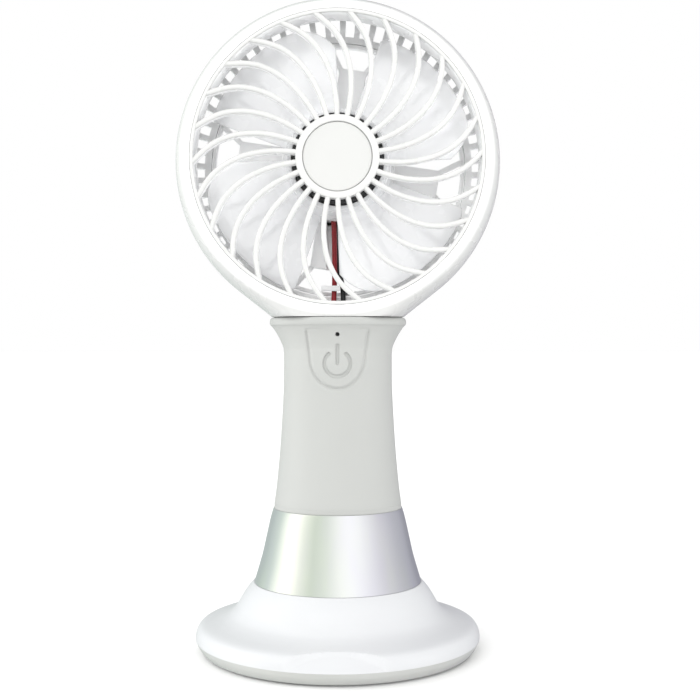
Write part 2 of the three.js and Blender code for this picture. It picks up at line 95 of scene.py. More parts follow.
def filleted(corners, steps=4):  # closed outline of (x, y, radius) with its corners rounded
    line = []
    count = len(corners)
    for i, (x, y, radius) in enumerate(corners):
        here = Vector((x, y))
        back = Vector(corners[i - 1][:2]) - here
        ahead = Vector(corners[(i + 1) % count][:2]) - here
        if radius <= 0:
            line.append((x, y))
            continue
        reach = min(radius / max(tan(back.angle(ahead) / 2), 1e-3), back.length * 0.45, ahead.length * 0.45)
        a, b = here + back.normalized() * reach, here + ahead.normalized() * reach
        for k in range(steps + 1):
            t = k / steps
            spot = a * (1 - t) ** 2 + here * 2 * t * (1 - t) + b * t * t
            line.append((spot.x, spot.y))
    return line


def newObject(name, data):
    obj = bpy.data.objects.new(name, data)
    bpy.context.scene.collection.objects.link(obj)
    return obj


def meshObject(name, verts, faces, sharp=35):
    data = bpy.data.meshes.new(name)
    data.from_pydata(verts, [], faces)
    work = bmesh.new()
    work.from_mesh(data)
    bmesh.ops.remove_doubles(work, verts=work.verts, dist=0.002 * mm)
    bmesh.ops.dissolve_degenerate(work, edges=work.edges, dist=0.001 * mm)
    bmesh.ops.recalc_face_normals(work, faces=work.faces)
    work.to_mesh(data)
    work.free()
    obj = newObject(name, data)
    shade(obj, sharp)
    return obj


def shade(obj, sharp=35):
    obj.data.polygons.foreach_set("use_smooth", [True] * len(obj.data.polygons))
    obj.data.set_sharp_from_angle(angle=radians(sharp))


def bake(obj, sharp=35):  # the modifiers' result becomes the object's own plain mesh
    bpy.context.view_layer.update()
    graph = bpy.context.evaluated_depsgraph_get()
    result = bpy.data.meshes.new_from_object(obj.evaluated_get(graph))
    old = obj.data
    obj.modifiers.clear()
    obj.data = result
    if old.users == 0:
        bpy.data.meshes.remove(old)
    shade(obj, sharp)
    return obj


def thicken(obj, thickness, edge=0.0, sharp=35):  # an inner wall and rounded edges, each where asked for
    if thickness:
        wall = obj.modifiers.new("wall", "SOLIDIFY")
        wall.thickness = thickness
        wall.offset = -1
        wall.use_even_offset = True
    if edge:
        soft = obj.modifiers.new("edges", "BEVEL")
        soft.width = edge
        soft.segments = 2
        soft.limit_method = "ANGLE"
        soft.angle_limit = radians(50)
    return bake(obj, sharp)


def carve(obj, tool, edge=0.0, sharp=35, overlapping=False):  # the tool is cut away and removed
    cutter = obj.modifiers.new("cut", "BOOLEAN")
    cutter.operation = "DIFFERENCE"
    cutter.solver = "EXACT"
    cutter.use_self = overlapping
    cutter.object = tool
    bake(obj, sharp)
    bpy.data.objects.remove(tool)
    if edge:
        thicken(obj, 0, edge, sharp)
    return obj


def sheet(name, columns, closed=False):  # open surface from columns of points
    rows = len(columns[0])
    verts = [spot for column in columns for spot in column]
    faces = []
    last = len(columns) if closed else len(columns) - 1
    for c in range(last):
        n = (c + 1) % len(columns)
        for r in range(rows - 1):
            faces.append((c * rows + r, n * rows + r, n * rows + r + 1, c * rows + r + 1))
    return meshObject(name, verts, faces)


def closedShell(name, outer, inner, faces, sharp=35):  # a skin and its inner copy, joined at open edges
    places, index = {}, []
    keptOuter, keptInner = [], []
    for spot, under in zip(outer, inner):
        place = tuple(round(v / (0.002 * mm)) for v in spot)
        if place not in places:
            places[place] = len(keptOuter)
            keptOuter.append(spot)
            keptInner.append(under)
        index.append(places[place])
    skin, edges = [], {}
    for face in faces:
        ring = [index[v] for i, v in enumerate(face) if index[v] != index[face[i - 1]]]
        if len(ring) < 3:
            continue
        skin.append(ring)
        for a, b in zip(ring, ring[1:] + ring[:1]):
            edges[(a, b)] = True
    count = len(keptOuter)
    walls = [(a, a + count, b + count, b) for a, b in edges if (b, a) not in edges]
    under = [[v + count for v in reversed(ring)] for ring in skin]
    return meshObject(name, keptOuter + keptInner, skin + under + walls, sharp)


def ringFaces(rings, count, closed=False):  # between rings of points that follow one another
    faces = []
    for k in range(rings if closed else rings - 1):
        n = (k + 1) % rings
        for i in range(count):
            j = (i + 1) % count
            faces.append((k * count + i, k * count + j, n * count + j, n * count + i))
    return faces


def cappedFaces(rings, count):  # the same, with the first and the last ring filled
    last = (rings - 1) * count
    return ringFaces(rings, count) + [tuple(range(count)), tuple(range(last, last + count))]


def turnedRing(name, outline, segments, place, sharp=35):  # closed outline in mm swept round an axis
    verts = []
    for i in range(segments):
        verts += [place(radius * mm, height * mm, 2 * pi * i / segments) for radius, height in outline]
    count = len(outline)
    onAxis = [radius == 0 and outline[(k + 1) % count][0] == 0 for k, (radius, _) in enumerate(outline)]
    faces = [face for face in ringFaces(segments, count, True) if not onAxis[face[0] % count]]
    return meshObject(name, verts, faces, sharp)


def aboutStand(radius, height, angle):
    return (radius * cos(angle), radius * sin(angle), height)


def aboutFan(radius, depth, angle):  # angle runs clockwise from the top, seen from the front
    return (radius * sin(angle), depth, axisHeight + radius * cos(angle))


def joined(name, parts):
    work = bmesh.new()
    for part in parts:
        work.from_mesh(part.data)
    data = bpy.data.meshes.new(name)
    work.to_mesh(data)
    work.free()
    for part in parts:
        bpy.data.objects.remove(part)
    obj = newObject(name, data)
    shade(obj)
    return obj


def settle(obj, body, material, slotName, *replaced):
    obj.data.materials.clear()
    obj.data.materials.append(material)
    if replaced:
        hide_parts(*replaced)
    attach(obj, body)
    return obj


# ---- camera, floor and light ----
view = {"x": 3.9 * mm, "distance": 360 * mm, "height": 96.1 * mm, "lens": 57.3}


def buildCamera():
    data = bpy.data.cameras.new("camera")
    data.lens = view["lens"]
    data.sensor_width = 36
    data.clip_start = 0.01
    camera = newObject("camera", data)
    camera.location = (view["x"], -view["distance"], view["height"])
    camera.rotation_euler = (pi / 2, 0, 0)
    bpy.context.scene.camera = camera


lamps = {  # kind, place, size (a sun's spread in degrees), strength, colour
    "keySun": ("SUN", (-0.35, -1.0, 0.62), (45, 0), 1.6, (1.0, 0.997, 0.985)),
    "leftLamp": ("AREA", (-1.0, -0.05, 0.2), (0.5, 0.9), 7.0, (0.985, 0.99, 1.0)),
    "rightLamp": ("AREA", (1.0, -0.35, 0.1), (0.5, 0.8), 8.0, (1.0, 1.0, 0.99)),
}


def aim(obj, target=Vector((0, 0, 0.11))):
    obj.rotation_euler = (target - obj.location).to_track_quat("-Z", "Y").to_euler()


sky = {
    "ambient": 0.88, "left": 0.12, "up": 0.27,  # brightness all round and towards two sides
    # what bright metal mirrors, by direction round the object: behind, left, front, right, behind
    "mirrored": [
        (0.0, (0.4, 0.45, 0.43)), (0.111, (0.47, 0.53, 0.50)), (0.189, (0.63, 0.70, 0.65)),
        (0.262, (1.2, 1.21, 1.12)), (0.305, (1.15, 1.15, 1.05)), (0.344, (0.84, 0.87, 0.78)),
        (0.394, (0.62, 0.67, 0.60)), (0.45, (0.73, 0.77, 0.71)), (0.515, (0.96, 0.97, 0.94)),
        (0.555, (1.0, 1.0, 1.0)), (0.6, (0.94, 0.94, 0.95)), (0.7, (0.66, 0.65, 0.69)),
        (0.8, (0.48, 0.48, 0.51)), (0.86, (0.41, 0.41, 0.46)), (0.91, (0.3, 0.3, 0.34)),
        (1.0, (0.28, 0.28, 0.32)),
    ],
    "mirrorGain": 1.2,
}


def buildWorld():  # a soft white room, brighter on one side, plain white behind the object
    world = bpy.data.worlds.new("world")
    bpy.context.scene.world = world
    world.use_nodes = True
    tree = world.node_tree
    make = tree.nodes.new
    room, output = tree.nodes["Background"], tree.nodes["World Output"]
    room.inputs["Color"].default_value = (1, 1, 1, 1)
    way, ray = make("ShaderNodeTexCoord").outputs["Generated"], make("ShaderNodeLightPath")
    lean = worked(tree, "VectorMath", "DOT_PRODUCT", way, (-sky["left"], 0, sky["up"]))
    total = worked(tree, "Math", "ADD", lean["Value"], sky["ambient"])
    link(tree, total[0], room.inputs["Strength"])
    split = make("ShaderNodeSeparateXYZ")
    link(tree, way, split.inputs[0])
    back = worked(tree, "Math", "MULTIPLY", split.outputs["Y"], -1)
    turn = worked(tree, "Math", "ARCTAN2", split.outputs["X"], back[0])
    mirrored = make("ShaderNodeBackground")
    mirrored.inputs["Strength"].default_value = sky["mirrorGain"]
    link(tree, ramp(tree, ranged(tree, turn[0], -pi, pi), sky["mirrored"]), mirrored.inputs["Color"])
    plain = make("ShaderNodeBackground")
    plain.inputs["Color"].default_value = (1, 1, 1, 1)
    light = room.outputs[0]
    for kind, other in (("Is Glossy Ray", mirrored), ("Is Camera Ray", plain)):
        choice = make("ShaderNodeMixShader")
        link(tree, ray.outputs[kind], choice.inputs[0])
        link(tree, light, choice.inputs[1])
        link(tree, other.outputs[0], choice.inputs[2])
        light = choice.outputs[0]
    link(tree, light, output.inputs["Surface"])


def buildStage():
    buildWorld()
    for name, (kind, place, size, strength, colour) in lamps.items():
        data = bpy.data.lights.new(name, kind)
        if kind == "SUN":
            data.angle = radians(size[0])
        else:
            data.shape = "RECTANGLE"
            data.size, data.size_y = size
        data.energy = strength
        data.color = colour
        lamp = newObject(name, data)
        lamp.location = place
        lamp.visible_glossy = False  # bright metal mirrors the room's colours only
        aim(lamp)
    floor = sheet("floor", [[(x * 40.0, y * 40.0, 0) for y in (-1, 1)] for x in (-1, 1)])
    floor.data.materials.append(floorFinish())
    floor.visible_glossy = False
    look = bpy.context.scene.view_settings
    look.view_transform = "Standard"
    look.look = "None"


# ---- finishes ----
def newFinish(name):
    material = bpy.data.materials.new(name)
    material.use_nodes = True
    tree = material.node_tree
    return material, tree, tree.nodes["Principled BSDF"]


def link(tree, source, target):
    tree.links.new(source, target)


def worked(tree, kind, operation, *inputs):  # a maths node fed with other nodes' outputs or plain values
    node = tree.nodes.new("ShaderNode" + kind)
    node.operation = operation
    for i, value in enumerate(inputs):
        if isinstance(value, bpy.types.NodeSocket):
            link(tree, value, node.inputs[i])
        else:
            node.inputs[i].default_value = value
    return node.outputs


def ranged(tree, value, start, end, atStart=0.0, atEnd=1.0):  # a value moved from one range to another
    node = tree.nodes.new("ShaderNodeMapRange")
    for label, amount in (("From Min", start), ("From Max", end), ("To Min", atStart), ("To Max", atEnd)):
        node.inputs[label].default_value = amount
    link(tree, value, node.inputs["Value"])
    return node.outputs["Result"]


def noise(tree, scale, detail, stretch=(1, 1, 1)):
    place = tree.nodes.new("ShaderNodeTexCoord")
    fit = tree.nodes.new("ShaderNodeMapping")
    fit.inputs["Scale"].default_value = stretch
    texture = tree.nodes.new("ShaderNodeTexNoise")
    texture.inputs["Scale"].default_value = scale
    texture.inputs["Detail"].default_value = detail
    link(tree, place.outputs["Object"], fit.inputs["Vector"])
    link(tree, fit.outputs["Vector"], texture.inputs["Vector"])
    return texture.outputs["Fac"]


def ramp(tree, value, stops):
    node = tree.nodes.new("ShaderNodeValToRGB")
    points = node.color_ramp.elements
    points[0].position, points[1].position = stops[0][0], stops[-1][0]
    points[0].color, points[1].color = (*stops[0][1], 1), (*stops[-1][1], 1)
    for position, colour in stops[1:-1]:
        points.new(position).color = (*colour, 1)
    link(tree, value, node.inputs["Fac"])
    return node.outputs["Color"]


def bump(tree, value, height):
    node = tree.nodes.new("ShaderNodeBump")
    node.inputs["Distance"].default_value = height
    node.inputs["Strength"].default_value = 1.0
    link(tree, value, node.inputs["Height"])
    return node.outputs["Normal"]


def clearing(tree, inner, outer, furthest):  # one near the fan's axis, another value further from it
    place, fit = tree.nodes.new("ShaderNodeTexCoord"), tree.nodes.new("ShaderNodeMapping")
    fit.inputs["Location"].default_value = (0, 0, -axisHeight)
    link(tree, place.outputs["Object"], fit.inputs["Vector"])
    flat = worked(tree, "VectorMath", "MULTIPLY", fit.outputs[0], (1, 0, 1))
    away = worked(tree, "VectorMath", "LENGTH", flat[0])
    return ranged(tree, away["Value"], inner * mm, outer * mm, 1.0, furthest)


def fadeOver(tree, axis, none, full):  # rises from none to one between two places along an axis
    place, split = tree.nodes.new("ShaderNodeTexCoord"), tree.nodes.new("ShaderNodeSeparateXYZ")
    link(tree, place.outputs["Object"], split.inputs[0])
    return ranged(tree, split.outputs[axis], none * mm, full * mm)


def blended(tree, share, colour, other):
    node = tree.nodes.new("ShaderNodeMix")
    node.data_type = "RGBA"
    node.inputs[7].default_value = (*other, 1)
    link(tree, share, node.inputs[0])
    link(tree, colour, node.inputs[6])
    return node.outputs[2]


# a and b: two close colours in patches of the given size; rough: lowest and highest roughness; grain and
# height: size and height of the fine surface grain; stretch: how patches and grain are drawn out.
# inside: radii from the fan's axis and the brighter colour painted nearer to it, painted light; fade: axis,
# where it starts, where it is complete and the colour beyond, a painted shade or painted light; clearing:
# radii between which a thin wall turns clearer, and how solid it stays. Sizes, heights and places are in mm.
finishes = {
    # shellWhite: inside the bore the shell is painted brighter, painted light where the bore lies in shade
    "shellWhite": dict(a=(0.535, 0.538, 0.53), b=(0.531, 0.534, 0.526), patch=18, rough=(0.24, 0.3),
                       grain=0.25, height=0.003, coat=0.25, inside=(46.6, 49.4, (0.965, 0.967, 0.97))),
    # standWhite: darker grey below the rim edge, painted shade on the lower side wall
    "standWhite": dict(a=(0.535, 0.542, 0.555), b=(0.53, 0.537, 0.55), patch=16, rough=(0.3, 0.38), grain=0.3,
                       height=0.004, coat=0.15, fade=("Z", 4.52, 4.42, (0.44, 0.447, 0.432))),
    # the rear guard's white, painted far brighter than the outer shells, painted light in the shaded cavity
    "guardWhitePaintedLight": dict(a=(0.965, 0.967, 0.97), b=(0.955, 0.957, 0.96), patch=16, rough=(0.3, 0.38),
                       grain=0.25, height=0.004),
    "handleWhite": dict(a=(0.385, 0.392, 0.38), b=(0.381, 0.388, 0.376), patch=20, rough=(0.42, 0.5),
                        grain=0.22, height=0.008),
    # grilleWhite: the front faces keep the plain white and everything behind them is painted brighter,
    # painted light in the shaded depth
    "grilleWhite": dict(a=(0.575, 0.578, 0.57), b=(0.57, 0.573, 0.565), patch=16, rough=(0.24, 0.32),
                        grain=0.25, height=0.003, coat=0.2, fade=("Y", -14.2, -13.4, (0.965, 0.967, 0.97))),
    "discWhite": dict(a=(0.535, 0.538, 0.528), b=(0.53, 0.533, 0.523), patch=12, rough=(0.35, 0.42),
                      grain=0.2, height=0.005),
    "bladeClear": dict(a=(0.9, 0.905, 0.92), b=(0.91, 0.915, 0.925), patch=14, rough=(0.2, 0.3), grain=0.3,
                       height=0.003, clearing=(17.8, 22, 0.6)),
    "trimBright": dict(a=(0.83, 0.85, 0.82), b=(0.8, 0.8, 0.84), patch=10, rough=(0.16, 0.2), grain=0.4,
                       height=0.0015, metal=1.0, stretch=(1, 1, 0.06)),
    "steelPlain": dict(a=(0.56, 0.57, 0.58), b=(0.47, 0.48, 0.5), patch=3, rough=(0.26, 0.4), grain=0.2,
                       height=0.003, metal=1.0, stretch=(1, 1, 0.15)),
    # near-black steel yoke, its darkness also a painted shade for the gap under the hub
    "rotorSteelAndShade": dict(a=(0.045, 0.046, 0.048), b=(0.03, 0.03, 0.032), patch=5, rough=(0.35, 0.48), grain=0.25,
                      height=0.006, metal=0.35),
    "footRubber": dict(a=(0.035, 0.035, 0.037), b=(0.05, 0.05, 0.052), patch=3, rough=(0.75, 0.9), grain=0.3,
                       height=0.03),
    "boardGreen": dict(a=(0.02, 0.16, 0.07), b=(0.03, 0.21, 0.1), patch=2, rough=(0.3, 0.45), grain=0.3,
                       height=0.01),
    "chipBlack": dict(a=(0.02, 0.02, 0.022), b=(0.035, 0.035, 0.037), patch=2, rough=(0.5, 0.65), grain=0.15,
                      height=0.01),
    "cellSleeve": dict(a=(0.03, 0.12, 0.36), b=(0.04, 0.15, 0.42), patch=8, rough=(0.28, 0.38), grain=0.3,
                       height=0.004, coat=0.2),
    "lampResin": dict(a=(0.8, 0.82, 0.86), b=(0.7, 0.74, 0.8), patch=1, rough=(0.1, 0.2), grain=0.2,
                      height=0.002, alpha=0.75),
    "bronzeSinter": dict(a=(0.5, 0.33, 0.14), b=(0.4, 0.26, 0.1), patch=1.5, rough=(0.4, 0.55), grain=0.15,
                         height=0.01, metal=1.0),
    "copperWire": dict(a=(0.58, 0.22, 0.08), b=(0.48, 0.16, 0.05), patch=1, rough=(0.25, 0.35), grain=0.4,
                       height=0.06, metal=0.9, stretch=(0.2, 1, 1)),
    "leadRed": dict(a=(0.3, 0.008, 0.014), b=(0.22, 0.005, 0.01), patch=4, rough=(0.3, 0.4), grain=0.3,
                    height=0.004),
    "leadBlack": dict(a=(0.008, 0.008, 0.009), b=(0.014, 0.014, 0.015), patch=4, rough=(0.3, 0.42), grain=0.3,
                      height=0.004),
}
made = {}


def finish(name):
    if name in made:
        return made[name]
    look = finishes[name]
    material, tree, shader = newFinish(name)
    stretch = look.get("stretch", (1, 1, 1))
    patch = noise(tree, 1000 / look["patch"], 3, stretch)
    colour = ramp(tree, patch, [(0.35, look["a"]), (0.65, look["b"])])
    # painted light: the colour turns brighter nearer the fan's axis
    if "inside" in look:
        colour = blended(tree, clearing(tree, *look["inside"][:2], 0), colour, look["inside"][2])
    # painted shade or painted light: the colour changes along one axis
    if "fade" in look:
        colour = blended(tree, fadeOver(tree, *look["fade"][:3]), colour, look["fade"][3])
    link(tree, colour, shader.inputs["Base Color"])
    haze = noise(tree, 2200 / look["patch"], 2, stretch)
    link(tree, ranged(tree, haze, 0.3, 0.7, *look["rough"]), shader.inputs["Roughness"])
    grain = noise(tree, 1000 / look["grain"], 4, stretch)
    link(tree, bump(tree, grain, look["height"] * mm), shader.inputs["Normal"])
    shader.inputs["Metallic"].default_value = look.get("metal", 0.0)
    shader.inputs["Coat Weight"].default_value = look.get("coat", 0.0)
    shader.inputs["Coat Roughness"].default_value = 0.15
    shader.inputs["Alpha"].default_value = look.get("alpha", 1.0)
    if "clearing" in look:
        link(tree, clearing(tree, *look["clearing"]), shader.inputs["Alpha"])
    made[name] = material
    return material


def floorFinish():
    material, tree, shader = newFinish("floorPaintedShadeNear")
    place = tree.nodes.new("ShaderNodeTexCoord")
    away = worked(tree, "VectorMath", "LENGTH", place.outputs["Object"])
    # painted shade: the floor is darker near the object and pales further out
    reach = ranged(tree, away["Value"], 0.05, 0.9)
    nearShadeRamp = ramp(tree, reach, [(0.0, (0.84, 0.84, 0.84)), (1.0, (0.97, 0.97, 0.97))])
    link(tree, nearShadeRamp, shader.inputs["Base Color"])
    shader.inputs["Roughness"].default_value = 0.9
    return material


# ---- geometry node trees ----
def newTree(name, inputs):
    tree = bpy.data.node_groups.new(name, "GeometryNodeTree")
    face = tree.interface
    face.new_socket("Geometry", in_out="INPUT", socket_type="NodeSocketGeometry")
    for label, kind in inputs:
        face.new_socket(label, in_out="INPUT", socket_type="NodeSocket" + kind)
    face.new_socket("Geometry", in_out="OUTPUT", socket_type="NodeSocketGeometry")
    return tree, tree.nodes.new("NodeGroupInput"), tree.nodes.new("NodeGroupOutput")


def runTree(obj, tree, values, sharp=35):
    modifier = obj.modifiers.new(tree.name, "NODES")
    modifier.node_group = tree
    for item in tree.interface.items_tree:
        if item.in_out == "INPUT" and item.name in values:
            modifier[item.identifier] = values[item.name]
    return bake(obj, sharp)


def repeatPiece():  # copies of the object's own mesh, each moved and turned a step from the one before
    tree, start, end = newTree("repeatPiece", [
        ("Count", "Int"), ("Place", "Vector"), ("Step", "Vector"), ("Turn", "Vector"),
        ("First Turn", "Vector"), ("Finish", "Material"),
    ])
    make, wire = tree.nodes.new, tree.links.new
    points = make("GeometryNodePoints")
    index = make("GeometryNodeInputIndex")
    copies = make("GeometryNodeInstanceOnPoints")
    real = make("GeometryNodeRealizeInstances")
    paint = make("GeometryNodeSetMaterial")
    wire(start.outputs["Count"], points.inputs["Count"])
    for step, first, target in (("Step", "Place", points.inputs["Position"]),
                                ("Turn", "First Turn", copies.inputs["Rotation"])):
        total = worked(tree, "VectorMath", "MULTIPLY_ADD", start.outputs[step], index.outputs[0],
                       start.outputs[first])
        wire(total[0], target)
    wire(points.outputs[0], copies.inputs["Points"])
    wire(start.outputs["Geometry"], copies.inputs["Instance"])
    wire(copies.outputs[0], real.inputs[0])
    wire(real.outputs[0], paint.inputs["Geometry"])
    wire(start.outputs["Finish"], paint.inputs["Material"])
    wire(paint.outputs[0], end.inputs[0])
    return tree


def roundFan(obj, tree, count, firstTurn, paint):  # copies spread evenly about the fan's axis
    return runTree(obj, tree, {
        "Count": count, "Place": (0, 0, axisHeight), "Step": (0, 0, 0), "Turn": (0, 2 * pi / count, 0),
        "First Turn": (0, radians(firstTurn), 0), "Finish": paint,
    })


def sweepPath():  # the object's own line of edges, swept with a round-cornered section
    tree, start, end = newTree("sweepPath", [
        ("Width", "Float"), ("Depth", "Float"), ("Round", "Float"), ("Front", "Float"),
        ("Finish", "Material"),
    ])
    make, wire = tree.nodes.new, tree.links.new
    path = make("GeometryNodeMeshToCurve")
    upright = make("GeometryNodeSetCurveNormal")
    upright.mode = "Z_UP"
    outline = make("GeometryNodeCurvePrimitiveQuadrilateral")
    soften = make("GeometryNodeFilletCurve")
    soften.mode = "POLY"
    soften.inputs["Count"].default_value = 5
    soften.inputs["Limit Radius"].default_value = True
    sweep = make("GeometryNodeCurveToMesh")
    sweep.inputs["Fill Caps"].default_value = True
    stand = make("GeometryNodeTransform")
    stand.inputs["Rotation"].default_value = (pi / 2, 0, 0)
    place = make("ShaderNodeCombineXYZ")
    real = make("GeometryNodeRealizeInstances")
    paint = make("GeometryNodeSetMaterial")
    wire(start.outputs["Geometry"], path.inputs["Mesh"])
    wire(start.outputs["Width"], outline.inputs["Width"])
    wire(start.outputs["Depth"], outline.inputs["Height"])
    wire(start.outputs["Round"], soften.inputs["Radius"])
    wire(outline.outputs[0], soften.inputs["Curve"])
    wire(path.outputs[0], upright.inputs["Curve"])
    wire(upright.outputs[0], sweep.inputs["Curve"])
    wire(soften.outputs[0], sweep.inputs["Profile Curve"])
    wire(start.outputs["Front"], place.inputs["Y"])
    wire(place.outputs[0], stand.inputs["Translation"])
    wire(sweep.outputs[0], stand.inputs["Geometry"])
    wire(stand.outputs[0], real.inputs[0])
    wire(real.outputs[0], paint.inputs["Geometry"])
    wire(start.outputs["Finish"], paint.inputs["Material"])
    wire(paint.outputs[0], end.inputs[0])
    return tree


def lineObject(name, spots):
    data = bpy.data.meshes.new(name)
    data.from_pydata(spots, [(i, i + 1) for i in range(len(spots) - 1)], [])
    return newObject(name, data)


# ---- desk stand ----
stand = {
    # radius and height of places down the side, from the foot up to the trim ring
    "side": [(43.0, 0.7), (43.5, 1.2), (44.7, 2.8), (45.5, 4.5), (45.42, 5.6), (45.05, 7.0), (44.2, 8.3),
             (43.0, 9.0), (41.2, 9.5), (38.8, 10.1), (36.4, 10.95), (34.4, 12.1), (32.7, 13.9), (31.3, 16.2),
             (30.0, 18.4), (28.6, 20.3), (27.45, 21.6)],
    "edge": 3, "scoopRise": 9.65, "scoopStart": 40.5, "scoopHalf": 20.3, "scoopSoft": 0.9,
    "wall": 1.9, "columns": 360,
}


def buildStandShell():
    edge = stand["side"][stand["edge"]]

    def pressed(radius, height, angle):  # the shallow scoop at the front
        away = abs(degrees(atan2(sin(angle + pi / 2), cos(angle + pi / 2)))) / stand["scoopHalf"]
        start = mix(stand["scoopStart"], edge[0], min(1, away * away))
        if away >= 1 or radius <= start or height <= edge[1]:
            return height
        across = (radius - stand["scoopStart"]) / (edge[0] - stand["scoopStart"])
        line = mix(stand["scoopRise"], edge[1], across)
        return max(edge[1], min(height, mix(height, line, ease(radius, start, start + stand["scoopSoft"]))))

    side = smoothLine(stand["side"][:stand["edge"] + 1], 4)[:-1]
    side += smoothLine(stand["side"][stand["edge"]:], 5)
    top = high("stand_shell").z / mm
    side += [(27.3, top - 0.12), (27.1, top), (24.9, top)]
    columns = []
    for i in range(stand["columns"]):
        angle = 2 * pi * i / stand["columns"]
        columns.append([aboutStand(r * mm, pressed(r, h, angle) * mm, angle) for r, h in side])
    shell = sheet("standShell", columns, closed=True)
    thicken(shell, stand["wall"] * mm, 0, 22)
    settle(shell, "stand", finish("standWhite"), "gloss_white", "stand_shell")


trim = {"side": [(26.78, 21.97), (26.0, 24.6), (25.05, 27.8), (24.15, 31.0), (23.35, 34.6), (22.6, 38.0),
                 (21.8, 41.6), (21.1, 44.2), (20.75, 45.3)], "wall": 1.2}


def buildTrimRing():
    outside = smoothLine(trim["side"], 5)
    inside = [(r - trim["wall"], h) for r, h in reversed(outside)]
    top = high("trim_ring").z / mm
    outside[-1] = (outside[-1][0] - 0.1, top)
    inside[0] = (inside[0][0], top)
    ring = turnedRing("trimRing", outside + inside, 256, aboutStand, 40)
    settle(ring, "stand", finish("trimBright"), "bright_trim", "trim_ring")


def buildSocketLiner():
    inner, outer = 18, high("stand_socket").x / mm
    bottom, top = low("stand_socket").z / mm, high("stand_socket").z / mm
    outline = filleted([
        (0, bottom, 0), (outer, bottom, 0.5), (outer, top, 0.3), (inner, top, 0.5),
        (inner, bottom + 1.8, 0.6), (0, bottom + 1.8, 0),
    ])
    liner = turnedRing("socketLiner", outline, 128, aboutStand, 40)
    settle(liner, "stand", finish("handleWhite"), "satin_white", "stand_socket")


# ---- handle ----
handle = {
    # half width at each height, from the stand up to the neck
    "side": [(20.52, 45.53), (20.28, 48), (19.75, 52), (19.15, 58), (18.6, 64.5), (18.1, 72), (17.7, 79),
             (17.47, 85), (17.44, 91), (17.45, 95.6), (17.75, 97.3), (18.5, 99.1), (19.5, 101.0),
             (20.5, 102.6), (21.25, 103.6), (21.8, 104.15), (22.0, 104.8), (21.95, 105.5), (21.7, 106.1),
             (21.3, 106.4)],
    "wall": 1.8, "columns": 72, "arc": 60, "ledge": (20.45, 16.6),
    "patchLow": 78, "patchHigh": 103.3, "patchRings": 14,  # the skin that is laid out round the key
}
key = {
    "topHalf": 9.75, "sideHalf": 8.6, "sideHeight": 94.4, "bottom": 84.1, "top": 102.9, "centre": 94.2,
    # the groove round it: distance from the edge and depth below the surface
    "groove": [(0.008, 1.1), (0.014, 0.5), (0.2, 0.44), (0.42, 0.26), (0.62, 0.09), (0.85, 0.0)],
    "strokeHalf": 0.58, "strokeDepth": 0.6, "markHeight": 91.9, "markRadius": 4.0, "markOpening": 42,
    "barTop": 97.5, "barBottom": 92.1, "lampHeight": 101.0, "lampHole": 0.66, "wall": 1.6, "draft": 0.98,
    "dip": 0.05, "steps": 46,
}
handleLine = smoothLine(handle["side"], 10)


def halfWidth(height):
    for (r0, z0), (r1, z1) in zip(handleLine, handleLine[1:]):
        if z0 <= height <= z1:
            return mix(r0, r1, (height - z0) / max(z1 - z0, 1e-9))
    return handleLine[0][0] if height < handleLine[0][1] else handleLine[-1][0]


def depthRatio(height):
    return 0.97 - 0.08 * ease(height, 50, 90) - 0.14 * ease(height, 90, 105)


def handleSpot(turn, height, sink=0.0, side=-1):  # turn is from the front or rear middle line, in radians
    width = halfWidth(height)
    depth = width * depthRatio(height)
    normal = Vector((sin(turn) / width, cos(turn) / depth)).normalized()
    x = width * sin(turn) - normal.x * sink
    y = depth * cos(turn) - normal.y * sink
    return (x * mm, side * max(y, 0.05) * mm, height * mm)


def tongueOutline(margin, count=240):  # half width over height, as a closed outline round the key
    half = key["sideHalf"] + margin
    drop = key["sideHeight"] - key["bottom"] + margin
    turns = [pi + pi * i / count for i in range(count + 1)]
    loop = [(half * cos(t), key["sideHeight"] + drop * sin(t)) for t in turns]
    top = key["top"] + margin * 0.4 - copysign(0.002, margin)  # the gap closes where the groove has run out
    dip = key["dip"] if margin < 0 else 0  # the key's top edge falls towards its ends, clear as it tilts
    topHalf = key["topHalf"] + margin
    loop += [(mix(half, topHalf, k / 12), mix(key["sideHeight"], top - dip, k / 12)) for k in range(1, 13)]
    loop += [(mix(topHalf, -topHalf, k / 24), top - dip * (1 - k / 12) ** 2) for k in range(1, 25)]
    loop += [(-mix(topHalf, half, k / 12), mix(top - dip, key["sideHeight"], k / 12)) for k in range(1, 12)]
    return loop


def toTurn(x, height):
    return asin(max(-1, min(1, x / halfWidth(height))))


def ringOnRays(loop, rays):  # where rays from the key's centre cross an outline, as (turn, height)
    spots = []
    scale = halfWidth(key["centre"])
    flat = [(toTurn(x, h) * scale, h - key["centre"]) for x, h in loop]
    for ray in rays:
        best = None
        for (ax, ay), (bx, by) in zip(flat, flat[1:] + flat[:1]):
            ex, ey = bx - ax, by - ay
            cross = ray[0] * ey - ray[1] * ex
            if abs(cross) < 1e-12:
                continue
            along = (ax * ey - ay * ex) / cross
            part = (ax * ray[1] - ay * ray[0]) / cross
            if along > 0 and -1e-9 <= part <= 1 + 1e-9:
                best = along
                break
        spots.append((ray[0] * best / scale, key["centre"] + ray[1] * best))
    return spots


def keyRays():  # the edge of the patch round the key, and rays to it from the key's centre
    scale = halfWidth(key["centre"])
    bottom, top = handle["patchLow"], handle["patchHigh"]
    turns, levels = spaced(-pi / 2, pi / 2, handle["columns"]), spaced(bottom, top, 50)
    edge = [(t, bottom) for t in turns] + [(pi / 2, h) for h in levels[1:]]
    edge += [(t, top) for t in turns[-2::-1]] + [(-pi / 2, h) for h in levels[-2:0:-1]]
    return edge, [(t * scale, h - key["centre"]) for t, h in edge]


def fade(height):  # the groove runs out at the top, where the key bends
    return 1 - ease(height, 101.6, 102.7)


